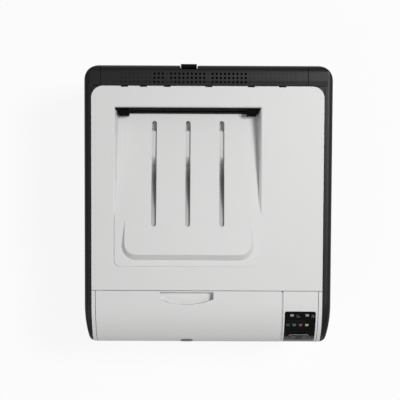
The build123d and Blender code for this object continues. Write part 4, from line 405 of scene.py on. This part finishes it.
# Materials by the record's slots, and by node where one differs from its slot
white_shell = grained("white_shell", WHITE, 0.48, spread=0.015)
# The top cover's white, with painted shade down its slots and along faint lines
bin_shell = grained("bin_shell", WHITE, 0.48, spread=0.015, painted_darkening=bin_shade)
# A whiter white than the shell, laid on the lip above the lens as a painted highlight
lip_painted_highlight = grained("lip_painted_highlight", (0.86, 0.86, 0.855), 0.45, spread=0.015)
black_shell = grained("black_shell", BLACK, 0.46, spread=0.10, specular=0.32)
# The vents' black, with painted shade as dark dots in their dimples
vent_shell = grained("vent_shell", BLACK, 0.46, spread=0.10, specular=0.32, painted_darkening=vent_shade)
deep_black = grained("deep_black", (0.004, 0.004, 0.004), 0.6, specular=0.04)
dark_inner = grained("dark_inner", (0.045, 0.045, 0.048), 0.5)
light_pipe = gloss("light_pipe", (0.36, 0.36, 0.37), 0.3, 0.2)
mark_grey = gloss("mark_grey", (0.16, 0.16, 0.165), 0.3, 0.2)
line_grey = gloss("line_grey", (0.020, 0.022, 0.024), 0.2, 0.2)
belt_skin = gloss("belt_skin", (0.02, 0.02, 0.022), 0.22)
soft_black = rubber("soft_rubber", (0.03, 0.03, 0.03))
screw_zinc = zinc("screw_zinc", STEEL)
gold_pin = zinc("gold_pin", (0.75, 0.52, 0.20))
# Dark satin of the trim round the buttons, painted light above 213.3 mm as the highlight along its
# top
bezel_painted_glint = layered("bezel_painted_glint", 0.35, (0.06, 0.06, 0.062),
                      [(zone(z=(213.3, FAR)), (0.42, 0.42, 0.42), 0.0)], tracked=False)
toner_marks = printed()

SLOT_FINISH = {
    "white_plastic": white_shell,
    "black_plastic": black_shell,
    "gloss_black": gloss("lens_black", (0.003, 0.003, 0.0033), specular=0.25, coat=0.1),
    "dark_plastic": dark_inner,
    "grey_plastic": grained("grey_inner", (0.30, 0.30, 0.31), 0.5),
    "zinc_steel": zinc("zinc_sheet", STEEL),
    "rubber": soft_black,
    "belt_film": belt_skin,
    "drum_coat": gloss("drum_skin", DRUM_TINT, 0.12),
    "heat_sleeve": rubber("sleeve_skin", SLEEVE_TINT),
    "board_green": board_skin(),
    "light_pipe": light_pipe,
    "button_grey": grained("button_skin", (0.05, 0.05, 0.052), 0.4),
}
NODE_FINISH = {
    "exit_guide": deep_black,
    "rear_latch": deep_black,
    "top_cover": bin_shell,
    "rear_top_cover": vent_shell,
    "toner_lights": toner_marks,
    "power_supply": supply_skin(),
    "motor_pinion": gloss("brass_pinion", (0.70, 0.50, 0.22), 0.3, 0.0),
    **{f"toner_cartridge_{toner}": cartridge_skin(toner) for toner in TONERS},
}


def dress(piece, material):
    """Give a piece one material on all its faces."""
    piece.data.materials.clear()
    piece.data.materials.append(material)


node_slot = {part["node"]: part["material_slot"] for part in frame["record"]["subparts"]}
body_of = {node: body for body, nodes in frame["record"]["behaviour"]["bodies"].items()
           for node in nodes}
for name, node in frame["nodes"].items():
    dress(node, NODE_FINISH.get(name, SLOT_FINISH[node_slot[name]]))


# Making pieces
def surface(name, grids, node, material):
    """Quads between neighbouring rows and columns of grids of points, in millimetres.

    Each grid is rows by columns by (x, y, z), and its last column meets its first.
    """
    corners, quads = [], []
    for grid in grids:
        rows, columns = grid.shape[:2]
        index = np.arange(rows * columns).reshape(rows, columns) + sum(map(len, corners))
        index = np.hstack([index, index[:, :1]])
        quads.append(np.stack([index[:-1, :-1], index[:-1, 1:], index[1:, 1:], index[1:, :-1]],
                              -1).reshape(-1, 4))
        corners.append(grid.reshape(-1, 3) * MM)
    return joined(name, np.vstack(corners), np.vstack(quads), node, material)


def joined(name, corners, faces, node, material):
    """Piece from corners in metres and faces, its doubled corners joined and its normals set.

    It rides on the body of a node and is given one material on all its faces.
    """
    mesh = bpy.data.meshes.new(name)
    mesh.from_pydata(corners.tolist(), [], faces.tolist())
    shape = bmesh.new()
    shape.from_mesh(mesh)
    bmesh.ops.remove_doubles(shape, verts=shape.verts, dist=2e-6)
    bmesh.ops.dissolve_degenerate(shape, edges=shape.edges, dist=1e-6)
    bmesh.ops.recalc_face_normals(shape, faces=shape.faces)
    shape.to_mesh(mesh)
    shape.free()
    mesh.shade_smooth()
    mesh.set_sharp_from_angle(angle=math.radians(35))
    piece = bpy.data.objects.new(name, mesh)
    bpy.context.scene.collection.objects.link(piece)
    dress(piece, material)
    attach(piece, body_of[node])
    return piece


def capped(grid):
    """Close a tube of rows with a middle point at each end."""
    ends = [np.broadcast_to(row.mean(0), row.shape)[None] for row in (grid[0], grid[-1])]
    return np.concatenate([ends[0], grid, ends[1]])


def straight(a, b, steps=12):
    """Evenly spaced points from one place to another."""
    return np.linspace(a, b, steps)


# Rollers, drums and feet
TURN = np.linspace(0, 2 * math.pi, 48, endpoint=False)


def turned(profile, centre, axis=0):
    """Each (along, radius) of a profile goes round an axis.

    Its place across the axis is the centre plus the radius times the turn's cosine and sine.
    """
    along, radius = np.array(profile, float).T[..., None]
    ring = [centre[0] + radius * np.cos(TURN), centre[1] + radius * np.sin(TURN)]
    ring.insert(axis, along)
    return np.stack(np.broadcast_arrays(*ring), -1)


def spindle(rolls, r, shaft, chamfer=0.5):
    """Profile of chamfered rolls of radius r on one shaft, closed on the axis at both ends."""
    s = SHAFT_R
    profile = [(shaft[0], 0), (shaft[0], s - chamfer), (shaft[0] + chamfer, s)]
    for low, high in rolls:
        profile += [(low, s), (low, r - chamfer), (low + chamfer, r), (high - chamfer, r),
                    (high, r - chamfer), (high, s)]
    return profile + [(shaft[1] - chamfer, s), (shaft[1], s - chamfer), (shaft[1], 0)]


WHEEL_HALF = 9
WHEELS = [(PAPER_X + off - WHEEL_HALF, PAPER_X + off + WHEEL_HALF) for off in (-45, 45)]
DRUM_X = (ROLL_X[0] + 2, ROLL_X[1] - 2)
PICKUP_HALF = 23.5
HAIR = 0.01  # left to the roll's own tone at each of its ends
# Rolls along X, tint and roughness of each roller and drum
ROLLERS = {
    "belt_tension_roller": ([ROLL_X], (0.05, 0.05, 0.052), 0.4),
    "transfer_roller": ([ROLL_X], (0.02, 0.02, 0.02), 0.8),
    "registration_roller": ([ROLL_X], (0.03, 0.03, 0.03), 0.75),
    "registration_pinch_roller": ([(-123.0, 58.0)], (0.40, 0.40, 0.40), 0.45),
    "pickup_roller": ([(PAPER_X - PICKUP_HALF, PAPER_X + PICKUP_HALF)], (0.03, 0.03, 0.032), 0.8),
    "heat_roller": ([ROLL_X], SLEEVE_TINT, 0.35),
    "pressure_roller": ([ROLL_X], (0.30, 0.09, 0.05), 0.6),
    "exit_roller": (WHEELS, (0.03, 0.03, 0.03), 0.75),
    "exit_pinch_rollers": (WHEELS, (0.55, 0.55, 0.54), 0.45),
    **{f"photo_drum_{toner}": ([DRUM_X], DRUM_TINT, 0.15) for toner in TONERS},
}
for node, (rolls, colour, roughness) in ROLLERS.items():
    low, high = (np.array(corner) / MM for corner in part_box(node))
    centre, r = (low[1:] + high[1:]) / 2, (high[2] - low[2]) / 2
    starts = [-FAR, *(right + HAIR for _, right in rolls)]
    stops = [*(left - HAIR for left, _ in rolls), FAR]
    bare = [(zone(x=ends), STEEL, 1.0) for ends in zip(starts, stops)]
    skin = layered(f"{node}_skin", roughness, colour, bare, tracked=False)
    profile = spindle(rolls, r, (low[0], high[0]))
    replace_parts(surface(f"{node}_turned", [turned(profile, centre)], node, skin), node)

FOOT_PLACES = [(x, y) for x in (-165, 165) for y in (-188, 186)]
FOOT_PROFILE = [(6, 0), (6, 8.9), (2, 8.9), (0.9, 8.6), (0.2, 7.8), (0, 6.8), (0, 3.5), (0.8, 3.0),
                (0.8, 0)]
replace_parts(surface("feet_turned", [turned(FOOT_PROFILE, place, axis=2) for place in FOOT_PLACES],
                    "rubber_feet", soft_black), "rubber_feet")


# Transfer belt
def pill(half, r, steps=24):
    """Outline of a pill in its plane: half circles of radius r at plus and minus half."""
    t = np.linspace(-math.pi / 2, math.pi / 2, steps)
    arc = np.stack([half + r * np.cos(t), r * np.sin(t)], -1)
    return np.vstack([arc, -arc])


def belt_loop():
    """Belt: pills across Y and Z, the outer one at each edge in X, then the inner one."""
    low, high = (np.array(corner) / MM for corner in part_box("transfer_belt"))
    middle, outer = (low + high) / 2, (high[2] - low[2]) / 2
    half, inner = (high[1] - low[1]) / 2 - outer, outer - BELT_THICK
    rows = []
    for x, r in ((low[0], outer), (high[0], outer), (high[0], inner), (low[0], inner),
                 (low[0], outer)):
        path = pill(half, r)
        rows.append(np.stack([np.full(len(path), x), middle[1] + path[:, 0],
                              middle[2] + path[:, 1]], -1))
    return np.stack(rows)


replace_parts(surface("belt_loop", [belt_loop()], "transfer_belt", belt_skin), "transfer_belt")


# Forms laid on the roof and the front
def roof_z(y):
    """Height over y: the roof's slope back of the brow, and the tops of two arcs before it.

    The top of an arc is its centre plus the root of the radius squared less the run squared.
    """
    straight_z = ROOF_REAR[1] - (ROOF_REAR[0] - y) * math.tan(ROOF_SLOPE)
    high = HIGH_CENTRE[1] + np.sqrt(np.maximum(BROW_R ** 2 - (y - HIGH_CENTRE[0]) ** 2, 0))
    low = LOW_CENTRE[1] + np.sqrt(np.maximum(FRONT_R ** 2 - (y - LOW_CENTRE[0]) ** 2, 0))
    return np.where(y > BROW_Y, straight_z, np.where(y > JOIN_Y, high, low))


def ribbon(path, width, lift=0.06, thick=0.1):
    """Strip along a path in plan, half its width to each side, laid on the roof's height."""
    path = np.array(path, float)
    run = np.gradient(path, axis=0)
    side = np.stack([-run[:, 1], run[:, 0]], -1) / np.hypot(*run.T)[:, None] * width / 2
    edges = np.stack([path - side, path + side, path + side, path - side], 1)
    return capped(np.dstack([edges, roof_z(edges[..., 1]) + lift - thick * np.array([0, 0, 1, 1])]))


def ring_path(centre, r, start, stop, steps=32):
    """Arc in plan between two angles in degrees: the centre plus r times cosine and sine."""
    t = np.radians(np.linspace(start, stop, steps))
    return np.stack([centre[0] + r * np.cos(t), centre[1] + r * np.sin(t)], -1)


def window(x, y, half, power, drop=2.0):
    """Domed window on the roof, with a skirt down to a drop.

    In plan, the shares of its half width and half depth, each to a power, add up to 1.
    """
    u = half[0] * np.sign(np.cos(TURN)) * abs(np.cos(TURN)) ** (2 / power)
    v = half[1] * np.sign(np.sin(TURN)) * abs(np.sin(TURN)) ** (2 / power)
    rows = [(0.0, 0.12), (0.35, 0.12), (0.7, 0.09), (0.9, 0.03), (1.0, -0.1), (1.0, -drop),
            (0.0, -drop)]
    return np.stack([np.stack([x + share * u, y + share * v, roof_z(y + share * v) + lift], -1)
                     for share, lift in rows])


# Signs, lights and lines of the lens, and the web seen down the seam beside the door
MARK_Y = -178.8
ARROW, ARROW_R = (146.6, MARK_Y), 2.2
BARBS = ((1.3, -0.9), (-1.5, -0.5))
TRIANGLE, TRIANGLE_R = (171.0, MARK_Y - 0.3), 2.8
STROKE_Y = (MARK_Y + 1.1, MARK_Y - 0.6)
SIGN_WIDTH = 0.7
STATUS_HALF = (2.8, 1.6)
TONER_HALF = (2.6, 1.8)
OUTLINE_R = 2.1
LINES_X = (128, 159)
LINES_Y = (-187.0, -191.2)
SEAM_X = 121.0
SEAM_Y = (-140.0, -224.0)
arrow = ring_path(ARROW, ARROW_R, 60, 340)
triangle = ring_path(TRIANGLE, TRIANGLE_R, 90, 450, 4)
signs = [arrow, *(straight(arrow[-1], arrow[-1] + barb) for barb in BARBS),
         straight(*((TRIANGLE[0], y) for y in STROKE_Y)),
         *(straight(a, b) for a, b in zip(triangle, triangle[1:]))]
surface("lens_icons", [ribbon(path, SIGN_WIDTH) for path in signs], "control_lens", mark_grey)
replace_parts(surface("status_windows", [window(x, STATUS_Y, STATUS_HALF, 3) for x in STATUS_X],
                    "status_lights", light_pipe), "status_lights")
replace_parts(surface("toner_windows", [window(x, TONER_Y, TONER_HALF, 4) for x in TONER_X],
                    "toner_lights", toner_marks), "toner_lights")
outline = ring_path((TONER_X[0], TONER_Y), OUTLINE_R, 0, 360, 5)
surface("toner_outline", [ribbon(outline, 0.6, lift=0.2)], "control_lens", mark_grey)
web = straight(*((SEAM_X, y) for y in SEAM_Y), 60)
surface("seam_web", [ribbon(web, 2.0, lift=-2.0, thick=1.0)], "front_frame", white_shell)
lines = [straight(*((x, y) for x in LINES_X), 40) for y in LINES_Y]
surface("lens_lines", [ribbon(line, 0.5) for line in lines], "control_lens", line_grey)


# Top cover with the linings of its finger slots level with the bed
LINING_TOP = BIN_REAR[1] + 8
LINING_Y = (85, 140)
LINING_HALF = SLOT_WIDTH / 2 + 1.7


def lowered_cover():
    """The top cover's corners and faces, with the linings' top corners put on the bed's plane."""
    mesh = frame["nodes"]["top_cover"].data
    corners = np.empty(len(mesh.vertices) * 3)
    mesh.vertices.foreach_get("co", corners)
    corners = corners.reshape(-1, 3)
    x, y, z = corners.T / MM
    bed = BIN_REAR[1] + (BIN_REAR[0] - y) * math.tan(BED_SLOPE)
    for i in (-1, 0, 1):
        rim = (abs(x - PAPER_X - SLOT_PITCH * i) < LINING_HALF) & (abs(z - LINING_TOP) < 0.05)
        rim &= (y > LINING_Y[0]) & (y < LINING_Y[1])
        corners[rim, 2] = bed[rim] * MM
    faces = np.empty(len(mesh.polygons) * 3, int)
    mesh.polygons.foreach_get("vertices", faces)
    return corners, faces.reshape(-1, 3)


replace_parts(joined("top_cover_shown", *lowered_cover(), "top_cover", bin_shell), "top_cover")


# Rounded laps of the side panels over the rear corners of the roof: side and outer x of each
LAPS = {"left": (-1, -187.7), "right": (1, 185.3)}


def corner_lap(side, x, r=19.0, lift=0.12, thick=0.6):
    """Between an arc and its square corner, laid on the roof.

    On the arc the reach from its centre is r, and on the corner it is r over the larger of the
    angle's cosine and sine.
    """
    t = np.radians(np.linspace(0.5, 89.5, 40))[:, None]
    across, along = np.cos(t), np.sin(t)
    share = np.array([0, 1, 1, 0])
    reach = r * (1 - share + share / np.maximum(across, along))
    y = ROOF_REAR[0] - r + reach * along
    drop = np.array([0, 0, 1, 1]) * thick
    return capped(np.stack([x - side * (r - reach * across), y, roof_z(y) + lift - drop], -1))


for name, (side, x) in LAPS.items():
    surface(f"{name}_corner_lap", [corner_lap(side, x)], f"{name}_side_panel", black_shell)


# Satin trim round the buttons with a painted highlight along its top, and the lip above the lens
# painted whiter as a highlight
def tube(path, r, steps=12, closed=False):
    """Tube round a path.

    Each ring is its centre plus r times the cosine of one side and the sine of the other, both
    square to the run.
    """
    path = np.array(path, float)
    run = np.roll(path, -1, 0) - np.roll(path, 1, 0) if closed else np.gradient(path, axis=0)
    run /= np.linalg.norm(run, axis=1)[:, None]
    aside = np.array([0.31, 0.22, 0.92])  # no path here runs this way
    a = np.cross(run, aside)
    a /= np.linalg.norm(a, axis=1)[:, None]
    b = np.cross(run, a)
    t = np.linspace(0, 2 * math.pi, steps, endpoint=False)[:, None]
    grid = path[:, None] + r * (np.cos(t) * a[:, None] + np.sin(t) * b[:, None])
    return np.concatenate([grid, grid[:1]]) if closed else capped(grid)


TRIM_CENTRE = np.array([149.5, -214.8, 209.2])
TRIM_HALF, TRIM_END_R, TRIM_R = 11.0, 6.4, 0.42
TRIM_PROUD = 0.75
SLANT = math.sqrt(0.5)  # cosine and sine of the 45 degrees that the trim leans back
LIP_X, LIP_Y, LIP_R = (127.5, 173.0), -170.6, 0.5
LIP_SUNK = 0.15
flat = pill(TRIM_HALF, TRIM_END_R)
trim = TRIM_CENTRE + np.stack([flat[:, 0], flat[:, 1] * SLANT, flat[:, 1] * SLANT], -1)
trim += np.array([0, -SLANT, SLANT]) * TRIM_PROUD
surface("bezel_trim", [tube(trim, TRIM_R, closed=True)], "control_housing", bezel_painted_glint)
lip = straight(*((x, LIP_Y) for x in LIP_X), 40)
lip = np.column_stack([lip, roof_z(lip[:, 1]) - LIP_SUNK])
surface("lens_lip", [tube(lip, LIP_R)], "control_housing", lip_painted_highlight)


# Screws
CROSS_HALF, CROSS_REACH, CROSS_DEEP = 0.45, 1.8, 0.7
BASE_DEEP = 0.1
REAR_SCREWS = ((-163, 40), (-163, 222), (150, 222), (150, 60))
BASE_SCREWS = [(x, y, 6.0) for x in (-140, 140) for y in (-150, 150)]


def screw(place, out, r=3.2, height=1.4):
    """Pan head, facing out along Y or down: a dome less a cross, its last ring closing the base.

    The dome falls from its height with the fourth power of the share of the radius.
    """
    p = np.append(np.linspace(0, 1, 25), 0)[:, None]
    u, v = r * p * np.cos(TURN), r * p * np.sin(TURN)
    cross = np.minimum(abs(u), abs(v)) < CROSS_HALF
    cross &= np.maximum(abs(u), abs(v)) < CROSS_REACH
    high = height * (1 - p ** 4) - CROSS_DEEP * cross
    high[-1] = -BASE_DEEP
    if out == "y":
        return np.stack([place[0] + u, place[1] + high, place[2] + v], -1)
    return np.stack([place[0] + u, place[1] + v, place[2] - high], -1)


rear_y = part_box("rear_wall")[1][1] / MM
surface("rear_screws", [screw((x, rear_y, z), "y") for x, z in REAR_SCREWS], "rear_wall",
        screw_zinc)
surface("base_screws", [screw(place, "z") for place in BASE_SCREWS], "base_pan", screw_zinc)

# Contacts and tongue of the two sockets
CONTACT_COUNT, CONTACT_PITCH, CONTACT_R = 8, 1.02, 0.2
CONTACT_ENDS = ((206, 125.5), (219, 120.5))
TONGUE_Z = 92.0
TONGUE_Y = (205.0, 216.0)


def tongue():
    """Flat tongue: a pill across X and Z, from one place in Y to the other."""
    block = pill(1.2, 1.6)
    return capped(np.stack([np.stack([PORT_X + block[:, 0], np.full(len(block), y),
                                      TONGUE_Z + block[:, 1]], -1) for y in TONGUE_Y]))


contact_x = [PORT_X + CONTACT_PITCH * (i - (CONTACT_COUNT - 1) / 2) for i in range(CONTACT_COUNT)]
pins = [tube(straight(*((x, *end) for end in CONTACT_ENDS), 8), CONTACT_R, 8) for x in contact_x]
surface("network_contacts", pins, "main_board", gold_pin)
surface("usb_tongue", [tongue()], "main_board", dark_inner)

# Floor and world, which look white to the camera and light the object plainly
FLOOR_HALF = 6.0
FLOOR_GLOW = 0.9
SKY = 0.17


def seen_by(tree, kind):
    """1 for a ray from the camera or of another kind, else 0."""
    camera_ray = tree.node("LightPath", out="Is Camera Ray")
    return camera_ray.maths("MAXIMUM", tree.node("LightPath", out=f"Is {kind} Ray"))


floor_mesh = bpy.data.meshes.new("floor")
floor_mesh.from_pydata([(x * FLOOR_HALF, y * FLOOR_HALF, 0)
                        for x, y in ((-1, -1), (1, -1), (1, 1), (-1, 1))], [], [(0, 1, 2, 3)])
floor = bpy.data.objects.new("floor", floor_mesh)
bpy.context.scene.collection.objects.link(floor)
pale_floor = bpy.data.materials.new("pale_floor")
pale_floor.use_nodes = True
nodes = pale_floor.node_tree.nodes
nodes.remove(nodes["Principled BSDF"])
tree = Wire(pale_floor.node_tree)
matte = tree.node("BsdfDiffuse", Color=(0.92, 0.92, 0.92, 1))
plain = tree.node("Emission", Strength=1.0)
mixed = tree.node("MixShader", _0=seen_by(tree, "Glossy") * FLOOR_GLOW, _1=matte, _2=plain)
feed(mixed, nodes["Material Output"], "Surface")
dress(floor, pale_floor)

world = bpy.data.worlds.new("studio")
bpy.context.scene.world = world
world.use_nodes = True
background = world.node_tree.nodes["Background"]
background.inputs["Color"].default_value = (1, 1, 1, 1)
shown = seen_by(Wire(world.node_tree), "Transmission")
feed(shown * (1 - SKY) + SKY, background, "Strength")


# Lamps and camera
def softbox(name, place, size, watts, aim=(0, 0, 0.2)):
    """Square area lamp at a place, facing a point."""
    lamp = bpy.data.lights.new(name, "AREA")
    lamp.size, lamp.energy = size, watts
    box = bpy.data.objects.new(name, lamp)
    box.location = place
    box.rotation_euler = (Vector(aim) - Vector(place)).to_track_quat("-Z", "Y").to_euler()
    bpy.context.scene.collection.objects.link(box)


softbox("key", (1.15, 0.45, 2.45), size=0.7, watts=45)
softbox("fill", (-1.1, -1.4, 1.9), size=1.6, watts=12)

camera = bpy.data.objects.new("camera", bpy.data.cameras.new("camera"))
bpy.context.scene.collection.objects.link(camera)
camera.data.sensor_width = 36.0
camera.data.lens = 90.0
camera.location = (-0.013, 0.0086, 1.8494)
camera.rotation_euler = (0, 0, math.radians(0.25))
bpy.context.scene.camera = camera
bpy.context.scene.view_settings.view_transform = "Standard"
